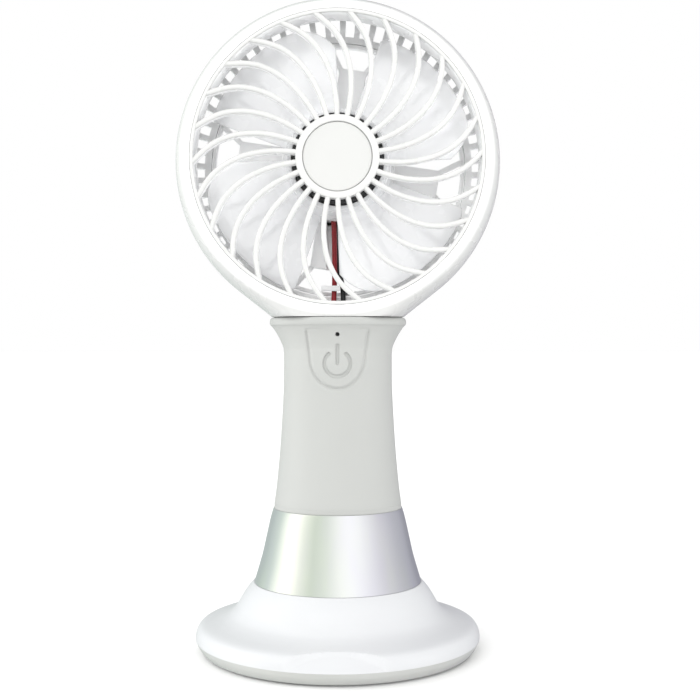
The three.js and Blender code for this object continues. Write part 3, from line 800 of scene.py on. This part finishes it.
def orient(obj, outward):  # an open skin's faces turned to one side before it gets its thickness
    work = bmesh.new()
    work.from_mesh(obj.data)
    face = max(work.faces, key=lambda f: f.calc_area())
    if face.normal.dot(outward(face.calc_center_median())) < 0:
        bmesh.ops.reverse_faces(work, faces=work.faces)
    work.to_mesh(obj.data)
    work.free()
    return obj


def fromAxis(spot):
    return Vector((spot.x, spot.y, 0))


def spigotHalf(side):  # the hidden stem under the handle, half of it
    bottom, top = low("handle_front_shell").z, 46.6 * mm
    outline = [(16.2 * mm, bottom), (16.5 * mm, bottom + 0.5 * mm), (17.5 * mm, 45.6 * mm), (17.5 * mm, top)]
    turns = spaced(0.003, pi - 0.003, handle["arc"])
    columns = [[(r * cos(t), side * r * sin(t), h) for r, h in outline] for t in turns]
    skin = orient(sheet("stem", columns), fromAxis)
    return thicken(skin, 1.6 * mm, 0, 40)


def shoulderRing(side):  # the ledge that closes the handle's foot down to its stem
    outer, inner = handle["ledge"]
    outline = filleted([(outer, 45.56, 0.2), (outer, 47.0, 0), (inner, 47.0, 0), (inner, 45.56, 0)])
    flat = depthRatio(45.8)
    verts = []
    for t in spaced(0, pi, handle["arc"]):
        for r, h in outline:
            depth = r * sin(t) * mix(1, flat, (r - inner) / (outer - inner))
            verts.append((r * cos(t) * mm, side * max(depth, 0.06) * mm, h * mm))
    return meshObject("ledge", verts, cappedFaces(handle["arc"] + 1, len(outline)))


def sunkSpot(turn, height, sink, straight):  # sunk partly straight back, so that the key fits in beside it
    top, under = handleSpot(turn, height), handleSpot(turn, height, sink)
    return (mix(under[0], top[0], straight), mix(under[1], top[1] + sink * mm, straight), top[2])


def buildHandleFront():
    edge, rays = keyRays()
    places = []
    for margin, depth in key["groove"]:
        inner = ringOnRays(tongueOutline(margin), rays)
        places += [(t, h, depth * fade(h), 1) for t, h in inner]
    rings = handle["patchRings"]
    for k in range(1, rings + 1):
        t = (k / rings) ** 1.25
        places += [(mix(a, c, t), mix(b, d, t), 0, 1 - k / rings) for (a, b), (c, d) in zip(inner, edge)]
    faces = ringFaces(len(key["groove"]) + rings, len(rays))
    turns = spaced(-pi / 2, pi / 2, handle["columns"])
    levelsLow = spaced(handle["side"][0][1], handle["patchLow"], 40)
    levelsHigh = [handle["patchHigh"]] + [h for _, h in handleLine if h > handle["patchHigh"] + 0.02]
    for levels in (levelsLow, levelsHigh):
        start, rows = len(places), len(levels)
        places += [(t, h, 0, 0) for t in turns for h in levels]
        for c in range(handle["columns"]):
            for r in range(rows - 1):
                a = start + c * rows + r
                faces.append((a, a + 1, a + rows + 1, a + rows))
    skin = closedShell("handleSkin", [sunkSpot(*p) for p in places],
                       [sunkSpot(t, h, handle["wall"], straight) for t, h, _, straight in places], faces, 45)
    front = joined("handleFront", [skin, shoulderRing(-1), spigotHalf(-1)])
    settle(front, "fan_body", finish("handleWhite"), "satin_white", "handle_front_shell")


def buildHandleRear():
    turns = spaced(-pi / 2, pi / 2, handle["columns"])
    columns = [[handleSpot(t, h, 0, 1) for _, h in handleLine] for t in turns]
    skin = orient(sheet("handleRearSkin", columns), fromAxis)
    thicken(skin, handle["wall"] * mm, 0, 45)
    mouthLow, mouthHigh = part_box("charge_socket")
    centre = (mouthLow + mouthHigh) / 2
    size = mouthHigh - mouthLow
    room = 0.5 * mm
    carve(skin, roundedBlock("mouthTool", (centre.x, 16 * mm, centre.z),
                             (size.x + room, 20 * mm, size.z + room), 1.2 * mm))
    for name in ("handle_screw_1", "handle_screw_2"):
        spot = (low(name) + high(name)) / 2
        back = high(name).y
        carve(skin, pipe("screwTool", spot.x, spot.z, 2.5 * mm, back - 1.0 * mm, back + 6 * mm))
    rear = joined("handleRear", [skin, shoulderRing(1), spigotHalf(1)])
    settle(rear, "fan_body", finish("handleWhite"), "satin_white", "handle_rear_shell")


def prism(name, outline, front, back):  # a closed outline of (x, z) drawn out from front to back
    count = len(outline)
    verts = [(x, depth, z) for x, z in outline for depth in (front, back)]
    faces = [(2 * i, 2 * ((i + 1) % count), 2 * ((i + 1) % count) + 1, 2 * i + 1) for i in range(count)]
    return meshObject(name, verts, faces + [tuple(range(0, 2 * count, 2)), tuple(range(1, 2 * count, 2))])


def pipe(name, x, z, radius, front, back, sides=48):
    turns = [2 * pi * i / sides for i in range(sides)]
    return prism(name, [(x + radius * cos(t), z + radius * sin(t)) for t in turns], front, back)


def roundedBlock(name, centre, size, radius):  # a block whose corners are round as seen from the front
    w, h = size[0] / 2, size[2] / 2
    corners = filleted([(-w, -h, radius), (w, -h, radius), (w, h, radius), (-w, h, radius)], 6)
    return prism(name, [(centre[0] + x, centre[2] + z) for x, z in corners],
                 centre[1] - size[1] / 2, centre[1] + size[1] / 2)


def markDepth(x, height):  # how deep the engraved on-off mark is at a place on the key
    up, radius, opening = height - key["markHeight"], key["markRadius"], radians(key["markOpening"])
    toBar = hypot(x, max(0, height - key["barTop"], key["barBottom"] - height))
    if abs(atan2(x, up)) >= opening:
        toArc = abs(hypot(x, up) - radius)
    else:
        toArc = hypot(abs(x) - radius * sin(opening), up - radius * cos(opening))
    near = min(toBar, toArc)
    return key["strokeDepth"] * (1 - ease(near, key["strokeHalf"] * 0.45, key["strokeHalf"] * 1.25))


def buildKey():
    rays = keyRays()[1]
    places = []
    for margin, depth in key["groove"]:
        inner = ringOnRays(tongueOutline(-margin), rays)
        places += [(t, h, depth * fade(h)) for t, h in inner]
    for k in range(1, key["steps"]):
        t = 1 - k / key["steps"]
        for turn, height in inner:
            spot = (turn * t, mix(key["centre"], height, t))
            places.append((*spot, markDepth(halfWidth(spot[1]) * sin(spot[0]), spot[1])))
    count = len(rays)
    faces = ringFaces(len(places) // count, count)
    last = len(places) - count
    faces += [(last + i, last + (i + 1) % count, len(places)) for i in range(count)]
    places.append((0, key["centre"], markDepth(0, key["centre"])))
    under = [sunkSpot(t * key["draft"], min(h, key["top"] - 0.3), key["wall"], 1) for t, h, _ in places]
    skin = closedShell("keySkin", [sunkSpot(*p, 1) for p in places], under, faces, 60)
    carve(skin, pipe("lampTool", 0, key["lampHeight"] * mm, key["lampHole"] * mm, -0.03, -0.005, 40), 0, 60)
    stem = pipe("stem", 0, 91 * mm, 1.5 * mm, -14.2 * mm, high("power_button").y)
    whole = joined("powerKey", [skin, stem])
    settle(whole, "button", finish("handleWhite"), "satin_white", "power_button")


# ---- head ----
head = {
    "throat": 38.3, "lip": 46.15, "rearRim": 45.2, "wall": 1.8, "columns": 480, "neckFloor": 1.2,
    "seat": 46.06, "seatOuter": 47.6,  # the step that holds the front grille
}


def stretchAt(angle):  # how far the round outline is drawn out towards the neck
    down = abs(degrees(atan2(sin(angle + pi), cos(angle + pi))))
    return 1.0 if down >= head["throat"] else 1 / cos(radians(head["throat"] - down))


def headSpot(radius, depth, angle, pull=1.0, floor=0.0):
    rho = radius * mix(1.0, stretchAt(angle), pull)
    drop = -cos(angle)
    limit = axisHeight / mm - neckHeight / mm - floor
    if rho * drop > limit:
        rho = limit / drop
    return aboutFan(rho * mm, depth * mm, angle)


def quarter(rim, depth, radius, steps):  # quarter ellipse from the rim to the widest line
    turns = [pi / 2 * i / steps for i in range(steps + 1)]
    return [(mix(rim, radius, sin(t)), depth * cos(t)) for t in turns]


def buildHeadFront():
    front = headFront / mm
    outer = quarter(head["lip"] + 0.35, front, headRadius / mm, 20)
    outer[-1] = (outer[-1][0], -jointGap / mm)
    inner = quarter(head["lip"] + 0.6, front + head["wall"], headRadius / mm - head["wall"], 14)
    inner[-1] = (inner[-1][0], -jointGap / mm)
    seat, seatOuter = head["seat"], head["seatOuter"]
    step = [(seatOuter, -4.8), (seat + 0.24, -4.8), (seat, -5.0), (seat, front + 0.4),
            (seat + 0.02, front + 0.12), (seat + 0.14, front)]
    verts = []
    for i in range(head["columns"]):
        angle = 2 * pi * i / head["columns"]
        verts += [headSpot(r, d, angle, 0) for r, d in step]
        verts += [headSpot(r, d, angle) for r, d in outer]
        verts += [headSpot(r, d, angle, 1, head["neckFloor"]) for r, d in reversed(inner)]
        verts.append(headSpot(seatOuter, front + head["wall"], angle, 0))
    rows = len(verts) // head["columns"]
    shell = meshObject("headFront", verts, ringFaces(head["columns"], rows, True), 40)
    settle(shell, "fan_body", finish("shellWhite"), "gloss_white", "head_front_shell")


vents = {"count": 60, "open": 5, "columnsPer": 8, "from": 0.36, "inner": 44.8, "turn": 1.8, "reach": 137}
# the floor over the neck: its half turn and steps, its section, and the gate for the leads through it
duct = {"half": 42, "steps": 84, "section": [(47.9, 0.4), (47.9, 12.6), (49.2, 12.6), (49.2, 0.4)],
        "gate": (-0.3, 9.25, 108), "gateSize": (7.4, 6.5, 8)}


def buildHeadRear():
    back = headBack / mm
    steps = 25
    turns = [pi / 2 * i / steps for i in range(steps + 1)]
    outer = [(mix(head["rearRim"], headRadius / mm, cos(t)), back * sin(t)) for t in turns]
    outer[0] = (outer[0][0], jointGap / mm)
    inner = [(r - head["wall"] * (0.1 + 0.9 * cos(t)), max(d - head["wall"] * 1.6 * sin(t), 0.05))
             for t, (r, d) in zip(turns, outer)]
    rimLine = [(vents["inner"], back), (42.75, back), (42.5, back - 0.25)]
    rimInside = [(vents["inner"] - 0.1, 12.8), (43.6, 12.6), (42.5, 12.7)]
    total = vents["count"] * vents["columnsPer"]
    firstRow, lastRow = round(vents["from"] * steps), steps + 1

    def isOpen(c, r):
        slotCentre = (c // vents["columnsPer"] + 0.5) * 360 / vents["count"] + vents["turn"]
        fromTop = abs((slotCentre + 180) % 360 - 180)
        inSlot = c % vents["columnsPer"] < vents["open"]
        return inSlot and firstRow <= r < lastRow and fromTop < vents["reach"]

    verts, faces = [], []
    rows = steps + 1 + len(rimLine)
    firstColumn = radians(vents["turn"]) + pi * (vents["columnsPer"] - vents["open"]) / total
    for c in range(total):
        angle = firstColumn + 2 * pi * c / total
        verts += [headSpot(r, d, angle) for r, d in outer] + [headSpot(r, d, angle, 0) for r, d in rimLine]
        verts += [headSpot(r, d, angle, 1, head["neckFloor"]) for r, d in inner]
        verts += [headSpot(r, d, angle, 0) for r, d in rimInside]
    stride = 2 * rows

    def quad(c, r, inside):  # a piece of the outer or inner skin
        n = (c + 1) % total
        a = c * stride + r + inside * rows
        b = n * stride + r + inside * rows
        return (a, b, b + 1, a + 1)

    def wall(c0, r0, c1, r1):  # from the outer skin to the inner one
        a, b = (c0 % total) * stride + r0, (c1 % total) * stride + r1
        return (a, b, b + rows, a + rows)

    for c in range(total):
        for r in range(rows - 1):
            if not isOpen(c, r):
                faces += [quad(c, r, 0), quad(c, r, 1)]
                continue
            before, after = (c - 1) % total, (c + 1) % total
            sides = (((before, r), (c, r, c, r + 1)), ((after, r), (c + 1, r, c + 1, r + 1)),
                     ((c, r - 1), (c, r, c + 1, r)), ((c, r + 1), (c, r + 1, c + 1, r + 1)))
            faces += [wall(*ends) for beside, ends in sides if not isOpen(*beside)]
        faces.append(wall(c, 0, c + 1, 0))
        faces.append(wall(c, rows - 1, c + 1, rows - 1))
    shell = meshObject("headRear", verts, faces, 40)
    floorVerts = []
    for t in spaced(180 - duct["half"], 180 + duct["half"], duct["steps"]):
        floorVerts += [aboutFan(r * mm, d * mm, radians(t)) for r, d in duct["section"]]
    ductFloor = meshObject("ductFloor", floorVerts, cappedFaces(duct["steps"] + 1, len(duct["section"])))
    place, size = [v * mm for v in duct["gate"]], [v * mm for v in duct["gateSize"]]
    carve(ductFloor, roundedBlock("gateTool", place, size, 0.5 * mm))
    whole = joined("headRearWhole", [shell, ductFloor])
    whole.name = "headRear"
    settle(whole, "fan_body", finish("shellWhite"), "gloss_white", "head_rear_shell")


# ---- front grille ----
cage = {
    "count": 26, "firstTurn": 13.25, "width": 1.6, "depth": 3.9, "roundEdge": 0.7,
    # radius and degrees of each point along a bar, from the hub out to the rim
    "bend": [(12.6, 0), (17, -0.5), (22, -2.1), (27, -4.6), (32, -7.9), (37, -12.2), (41, -16.8),
             (45.4, -22.4)],
    "hubRadius": 13.1, "recess": 10.8, "recessDepth": 1.3, "hubDepth": 4.0,
}


def planeSpot(radius, turn):
    return (radius * mm * sin(radians(turn)), radius * mm * cos(radians(turn)), 0)


def buildGrille(repeatTree, spokeTree):
    paint = finish("grilleWhite")
    spokes = lineObject("spokes", smoothLine([planeSpot(*spot) for spot in cage["bend"]], 5))
    runTree(spokes, spokeTree, {
        "Width": cage["width"] * mm, "Depth": cage["depth"] * mm, "Round": cage["roundEdge"] * mm,
        "Front": headFront + (cage["depth"] / 2 + 0.15) * mm, "Finish": paint,
    })
    roundFan(spokes, repeatTree, cage["count"], cage["firstTurn"], paint)
    front = headFront / mm
    rimOutline = filleted([
        (rimInner / mm, front, 0.35), (rimOuter / mm, front, 0.3), (rimOuter / mm, rimBack / mm, 0.2),
        (rimInner / mm, rimBack / mm, 0.2),
    ])
    rim = turnedRing("rim", rimOutline, 312, aboutFan)
    recess, hubBack = front + cage["recessDepth"], front + cage["hubDepth"]
    hubOutline = filleted([
        (0.01, recess, 0), (cage["recess"], recess, 0.25), (cage["recess"] + 0.15, front, 0.3),
        (cage["hubRadius"], front, 0.55), (cage["hubRadius"], hubBack, 0.3), (0.01, hubBack, 0),
    ], 5)
    hub = turnedRing("hub", hubOutline, 208, aboutFan)
    grille = joined("frontGrille", [spokes, rim, hub])
    settle(grille, "fan_body", paint, "gloss_white", "front_grille")


disc = {"dish": 0.3, "rim": 0.5, "gap": 0.03, "rings": 12}


def buildDisc():
    radius, front, back = cage["recess"] - disc["gap"], low("hub_badge").y / mm, high("hub_badge").y / mm
    rings = [i / disc["rings"] for i in range(disc["rings"])]
    outline = [(max(radius * t, 0.01), front + disc["dish"] * (1 - t ** 2)) for t in rings]
    outline += filleted([
        (radius, front, disc["rim"]), (radius, back, 0.1), (0.01, back, 0), (0.01, back - 0.1, 0),
    ])[:-2]
    plate = turnedRing("hubDisc", outline, 160, aboutFan, 50)
    settle(plate, "fan_body", finish("discWhite"), "satin_white", "hub_badge")


# ---- impeller ----
blades = {"count": 4, "turn": 54.1, "root": 15.9, "tip": 43.5, "rootSpan": 72, "tipSpan": 70, "rise": 9.5,
          "thickness": 1.2, "middle": -1.6, "camber": 0.9, "cornerFrom": 0.28, "cornerDrop": 0.172}


def bladeMesh():
    across, along = 48, 26
    columns = []
    for i in range(across + 1):
        u = i / across - 0.5
        column = []
        for k in range(along + 1):
            v = k / along
            past = max(0, (u - 0.5 + blades["cornerFrom"]) / blades["cornerFrom"])
            short = max(0, (-0.44 - u) / 0.06)
            corner = 1 - blades["cornerDrop"] * past ** 2 - 0.02 * short ** 2
            radius = mix(blades["root"], blades["tip"] * corner, v)
            turn = radians(u * mix(blades["rootSpan"], blades["tipSpan"], v))
            pitch = blades["rise"] * mix(1, 0.82, v)
            depth = blades["middle"] - u * pitch - blades["camber"] * (1 - 4 * u * u) * (0.3 + 0.7 * v)
            column.append((radius * mm * sin(turn), depth * mm, radius * mm * cos(turn)))
        columns.append(column)
    skin = sheet("blades", columns)
    wall = skin.modifiers.new("wall", "SOLIDIFY")
    wall.thickness = blades["thickness"] * mm
    wall.offset = 0
    soft = skin.modifiers.new("edges", "BEVEL")
    soft.width = 0.35 * mm
    soft.segments = 3
    soft.limit_method = "ANGLE"
    soft.angle_limit = radians(50)
    return bake(skin)


def buildImpeller(repeatTree):
    paint = finish("bladeClear")
    vanes = bladeMesh()
    roundFan(vanes, repeatTree, blades["count"], blades["turn"], paint)
    inner, front = high("rotor_yoke").x / mm + 0.3, low("impeller").y / mm
    back = high("rotor_yoke").y / mm + 1.2
    skirt = turnedRing("skirt", filleted([
        (inner, front, 0.15), (inner + 1.3, front, 0.4), (inner + 2.1, -4.0, 3.0), (18.2, back, 0.3),
        (inner, back, 0.15),
    ]), 160, aboutFan)
    whole = joined("impellerBlades", [vanes, skirt])
    settle(whole, "impeller", paint, "clear_blade", "impeller")


def buildRotor():
    r, front, back = high("rotor_yoke").x / mm, low("rotor_yoke").y / mm, high("rotor_yoke").y / mm
    can = turnedRing("rotorCan", filleted([
        (1.15, front + 0.5, 0.1), (3.2, front + 0.5, 0.1), (3.6, front, 0.2), (r, front, 1.1), (r, back, 0.2),
        (r - 1.2, back, 0.2), (r - 1.2, front + 1.1, 0.8), (3, front + 1.1, 0.2), (3, front + 2.6, 0.2),
        (1.15, front + 2.6, 0.1),
    ], 6), 160, aboutFan)
    settle(can, "impeller", finish("rotorSteelAndShade"), "dark_steel", "rotor_yoke")


# ---- rear guard ----
guard = {
    "armTurn": 8.5, "armWidth": 9.0, "armEnd": 33.5, "armFront": 10.6, "ribWidth": 1.6, "spread": 12.5,
    "quarterRibs": 4, "cup": 18.6, "cupFront": 4.4, "cupWall": 1.3, "rimFront": 12.2, "rimWall": 1.3,
    # the channel for the leads: what is cut from the ribs, cup and rim as (below the axis, height)
    "channel": {"ribs": (30, 30.6), "cup": (18.5, 5), "rim": (42, 6)},
}


def barBlock(name, start, end, width, front, back):  # start and end are (radius, degrees) in the head's plane
    a, b = [Vector((r * sin(radians(t)), r * cos(radians(t)))) for r, t in (start, end)]
    side = (b - a).orthogonal().normalized() * width / 2
    spots = [a - side, b - side, b + side, a + side]
    verts = [(p.x * mm, d * mm, p.y * mm) for d in (front, back) for p in spots]
    faces = [(0, 1, 2, 3), (7, 6, 5, 4)] + [(i, (i + 1) % 4, (i + 1) % 4 + 4, i + 4) for i in range(4)]
    return meshObject(name, verts, faces)


def buildGuard(repeatTree):
    paint = finish("guardWhitePaintedLight")
    front, back, rimOut = low("rear_guard").y / mm, high("rear_guard").y / mm, guardRim / mm
    cup, wall, rimFront, thin = guard["cup"], guard["cupWall"], guard["rimFront"], guard["ribWidth"]
    parts = [barBlock("arm", (cup - 1, 0), (guard["armEnd"], 0), guard["armWidth"], guard["armFront"], back)]
    for sign in (-1, 1):
        parts.append(barBlock("fork", (guard["armEnd"] - 1, sign * 6), (rimOut - 0.6, sign * guard["spread"]),
                              thin, rimFront, back))
    for k in range(guard["quarterRibs"]):
        turn = 27 + 12 * k
        parts.append(barBlock("rib", (cup - 0.8, turn), (rimOut - 0.6, turn), thin, 12.8, back - 0.2))
    quarterPiece = joined("guardQuarter", parts)
    thicken(quarterPiece, 0, 0.3 * mm)
    roundFan(quarterPiece, repeatTree, 4, guard["armTurn"], paint)
    cupPiece = turnedRing("cup", filleted([
        (0.01, back - 1.6, 0), (2.6, back - 1.6, 0.1), (2.6, front, 0.1), (3.5, front, 0.1),
        (3.5, back - 2.2, 0.4), (cup - wall, back - 2.2, 0.8), (cup - wall, guard["cupFront"], 0.3),
        (cup, guard["cupFront"], 0.3), (cup, back, 1.0), (0.01, back, 0),
    ], 5), 160, aboutFan)
    rimIn = rimOut - guard["rimWall"]
    rim = turnedRing("guardRim", filleted([
        (rimIn, rimFront, 0.3), (rimOut, rimFront, 0.3), (rimOut, back, 0.4), (rimIn, back, 0.4),
    ]), 240, aboutFan)
    for piece, (below, tall) in zip((quarterPiece, cupPiece, rim), guard["channel"].values()):
        tool = roundedBlock("channelTool", (-0.3 * mm, 7 * mm, axisHeight - below * mm),
                            (7.4 * mm, 14 * mm, tall * mm), 0.4 * mm)
        carve(piece, tool, overlapping=piece is quarterPiece)
    whole = joined("rearGuard", [quarterPiece, cupPiece, rim])
    settle(whole, "fan_body", paint, "gloss_white", "rear_guard")


# ---- motor leads ----
leads = {
    # places along each lead, from the motor down to the board
    "red": [(-2.2, 7, 143.4), (-1.6, 8.2, 139), (-1.3, 8.8, 134), (-1.2, 9.2, 126), (-1.2, 9.8, 120.5),
            (-1.3, 10.45, 116.5), (-1.6, 9.6, 110.6), (-2, 8, 106.6), (-3, 3, 102.4), (-4, -2, 99.4),
            (-5, -6.4, 98)],
    "black": [(1.8, 7.4, 143.4), (0.2, 9.8, 139), (-0.6, 10.9, 134), (-0.4, 11.3, 128), (0.4, 11.2, 122),
              (1.5, 10.4, 116.5), (1.7, 9.6, 110.6), (2, 8, 106.6), (3, 3, 102.4), (4, -2, 99.4),
              (5, -6.4, 98)],
    "radius": 0.85, "sides": 20,
}


def leadMesh(name, route):
    spots = [Vector(p) for p in smoothLine(route, 12)]
    sides, up = leads["sides"], Vector((1, 0, 0))
    verts = []
    for i, spot in enumerate(spots):
        along = (spots[min(i + 1, len(spots) - 1)] - spots[max(i - 1, 0)]).normalized()
        across = (up - along * up.dot(along)).normalized()
        other = along.cross(across)
        for k in range(sides):
            t = 2 * pi * k / sides
            verts.append((spot + (across * cos(t) + other * sin(t)) * leads["radius"]) * mm)
    return meshObject(name, verts, cappedFaces(len(spots), sides))


def buildLeads():
    red = leadMesh("leadRed", leads["red"])
    settle(red, "fan_body", finish("leadRed"), "red_insulation", "motor_lead_red")
    black = leadMesh("leadBlack", leads["black"])
    settle(black, "fan_body", finish("leadBlack"), "black_insulation", "motor_lead_black")
    clipLow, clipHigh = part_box("lead_clip")
    centre, size = (clipLow + clipHigh) / 2, clipHigh - clipLow
    bridge = roundedBlock("clip", (centre.x, clipLow.y + 0.55 * mm, centre.z),
                          (size.x, 1.1 * mm, size.z), 0.5 * mm)
    leg = roundedBlock("leg", (clipLow.x + 0.65 * mm, centre.y + 0.4 * mm, centre.z),
                       (1.3 * mm, size.y - 0.8 * mm, size.z), 0.4 * mm)
    clip = joined("leadClip", [bridge, leg])
    thicken(clip, 0, 0.12 * mm)
    settle(clip, "fan_body", finish("grilleWhite"), "gloss_white", "lead_clip")


# ---- screws, feet, base plate and charging socket ----
fixings = {
    "crossHalf": 0.28, "crossReach": 0.6, "crossDepth": 0.5, "sides": 48,
    "footGrooves": [(1.2, 1.9), (2.9, 3.6)], "footGroove": 0.22, "footRoom": 0.05,
    "screwRoom": 2.9, "screwHole": 1.5, "pocketTop": 1.9,
    "socketWall": 0.36, "socketRound": 1.35, "tongueHalf": (3.0, 0.35),
}


def turned(name, corners, sharp=30):  # solid of revolution about Z from (radius, height, rounding)
    return turnedRing(name, filleted(corners), fixings["sides"], aboutStand, sharp)


def moved(obj, place, tilt=0.0):
    obj.data.transform(Matrix.Translation([v * mm for v in place]) @ Matrix.Rotation(tilt, 4, "X"))
    return obj


def crossTool(radius, top):  # what cuts the cross-shaped recess of a screw head
    half, reach = fixings["crossHalf"], radius * fixings["crossReach"]
    verts, faces = [], []
    for scale, height in ((0.7, top - fixings["crossDepth"]), (1.0, top + 0.1)):
        for turn in range(4):
            c, s = cos(turn * pi / 2), sin(turn * pi / 2)
            for x, y in ((reach, -half), (reach, half), (half, half)):
                verts.append(((x * c - y * s) * scale * mm, (x * s + y * c) * scale * mm, height * mm))
    for i in range(12):
        faces.append((i, (i + 1) % 12, 12 + (i + 1) % 12, 12 + i))
    return meshObject("crossTool", verts, faces + [tuple(range(12)), tuple(range(12, 24))])


def screwMesh(radius, head, shank, length):  # standing on its tip
    top = length + head
    screw = turned("screw", [(0, 0, 0), (shank * 0.5, 0, 0.1), (shank, 0.8, 0.3), (shank, length, 0),
                             (radius, length, 0.08), (radius * 0.96, length + head * 0.5, 0.3),
                             (radius * 0.6, top, 0.5), (0, top, 0)])
    return carve(screw, crossTool(radius, top), 0, 30)


def buildHandleScrews(tree):
    first, second = low("handle_screw_1"), low("handle_screw_2")
    screws = screwMesh(2.2, 0.8, 0.95, 5.4)
    screws.name = "handleScrews"
    start = (0, first.y, (first.z + high("handle_screw_1").z) / 2)
    runTree(screws, tree, {
        "Count": 2, "Place": start, "Step": (0, second.y - first.y, second.z - first.z), "Turn": (0, 0, 0),
        "First Turn": (-pi / 2, 0, 0), "Finish": finish("steelPlain"),
    }, 30)
    settle(screws, "fan_body", finish("steelPlain"), "bright_steel", "handle_screw_1", "handle_screw_2")


def roundStand(obj, tree, count, paint):  # copies spread evenly about the stand's axis
    return runTree(obj, tree, {
        "Count": count, "Place": (0, 0, 0), "Step": (0, 0, 0), "Turn": (0, 0, 2 * pi / count),
        "First Turn": (0, 0, 0), "Finish": paint,
    }, 30)


def buildUnderside(tree):
    names = [f"stand_screw_{i + 1}" for i in range(4)]
    spot = (low(names[0]) + high(names[0])) / 2
    across, tip = spot.x / mm, high(names[0]).z / mm
    screws = moved(screwMesh(2.6, 0.7, 1.1, 5.9), (across, across, tip), pi)
    screws.name = "standScrews"
    roundStand(screws, tree, 4, finish("steelPlain"))
    settle(screws, "stand", finish("steelPlain"), "bright_steel", *names)

    names = [f"stand_foot_{i + 1}" for i in range(4)]
    footRadius, footHigh = high(names[0]).y / mm, high(names[0]).z / mm
    away = (low(names[0]).x + high(names[0]).x) / 2 / mm
    corners = [(0, 0, 0)]
    for start, end in fixings["footGrooves"]:
        corners += [(start, 0, 0.08), (start + 0.12, fixings["footGroove"], 0.08),
                    (end - 0.12, fixings["footGroove"], 0.08), (end, 0, 0.08)]
    corners += [(footRadius, 0, 0.4), (footRadius, footHigh, 0.12), (0, footHigh, 0)]
    feet = moved(turned("standFeet", corners), (away, 0, 0))
    roundStand(feet, tree, 4, finish("footRubber"))
    settle(feet, "stand", finish("footRubber"), "black_rubber", *names)

    lowest, highest = low("stand_base_plate"), high("stand_base_plate")
    bottom, top, radius = lowest.z / mm, highest.z / mm, highest.x / mm
    plate = turnedRing("basePlate", filleted([
        (0, bottom, 0), (36.2, bottom, 0), (36.6, bottom + 0.25, 0.1), (radius - 5, bottom + 0.25, 0.1),
        (radius - 4.6, bottom, 0), (radius, bottom, 0.4), (radius, top, 0.3), (0, top, 0),
    ]), 192, aboutStand, 30)
    room, pocket = footRadius + fixings["footRoom"], fixings["pocketTop"]
    pockets = turned("pockets", [(0, -1, 0), (room, -1, 0), (room, pocket, 0), (0, pocket, 0)])
    moved(pockets, (away, 0, 0))
    roundStand(pockets, tree, 4, finish("footRubber"))
    wide, narrow = fixings["screwRoom"], fixings["screwHole"]
    holes = turned("holes", [(0, -1, 0), (wide, -1, 0), (wide, pocket, 0), (narrow, pocket, 0),
                             (narrow, 4, 0), (0, 4, 0)])
    moved(holes, (across, across, 0))
    roundStand(holes, tree, 4, finish("footRubber"))
    carve(plate, joined("plateTool", [pockets, holes]), 0, 30)
    settle(plate, "stand", finish("handleWhite"), "satin_white", "stand_base_plate")


def buildSocket():
    lowest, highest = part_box("charge_socket")
    middle, size = (lowest + highest) / 2, highest - lowest
    wall, corner = fixings["socketWall"] * mm, fixings["socketRound"] * mm
    shell = roundedBlock("chargeSocket", middle, size, corner)
    mouth = roundedBlock("mouth", middle + Vector((0, mm, 0)),
                         (size.x - 2 * wall, size.y, size.z - 2 * wall), corner - wall)
    carve(shell, mouth, 0.06 * mm, 30)
    start, end = lowest.y + 1.02 * mm, highest.y - mm
    half, thick = fixings["tongueHalf"]
    tongue = roundedBlock("tongue", Vector((middle.x, (start + end) / 2, middle.z)),
                          (2 * half * mm, end - start, 2 * thick * mm), 0.15 * mm)
    whole = joined("chargeSocket", [shell, tongue])
    settle(whole, "fan_body", finish("steelPlain"), "bright_steel", "charge_socket")


# ---- pieces that keep their frame shape ----
kept = {
    "counterweight": "steelPlain", "handle_end_cap": "handleWhite",
    "battery_cell": "cellSleeve", "battery_cradle": "handleWhite", "battery_tab_lower": "steelPlain",
    "battery_tab_upper": "steelPlain", "main_board": "boardGreen", "control_chip": "chipBlack",
    "tact_switch": "chipBlack", "status_led": "lampResin", "charge_board": "boardGreen",
    "neck_joiner": "handleWhite", "motor_bearing": "bronzeSinter", "stator_core": "steelPlain",
    "stator_coils": "copperWire", "magnet_ring": "chipBlack", "motor_shaft": "steelPlain",
    "shaft_clip": "steelPlain",
}


def paintKept():
    for name, look in kept.items():
        obj = nodes[name]
        if not obj.material_slots:
            obj.data.materials.append(finish(look))
        for place in obj.material_slots:
            place.material = finish(look)


buildCamera()
buildStage()
print("camera and stage ready")
buildStandShell()
buildTrimRing()
buildSocketLiner()
print("stand ready")
buildHandleFront()
buildHandleRear()
buildKey()
print("handle ready")
buildHeadFront()
buildHeadRear()
print("head ready")
repeatTree, spokeTree = repeatPiece(), sweepPath()
buildGrille(repeatTree, spokeTree)
buildDisc()
buildImpeller(repeatTree)
buildRotor()
buildGuard(repeatTree)
buildLeads()
print("grille, impeller and guard ready")
buildHandleScrews(repeatTree)
buildUnderside(repeatTree)
buildSocket()
print("screws, feet, base plate and socket ready")
paintKept()
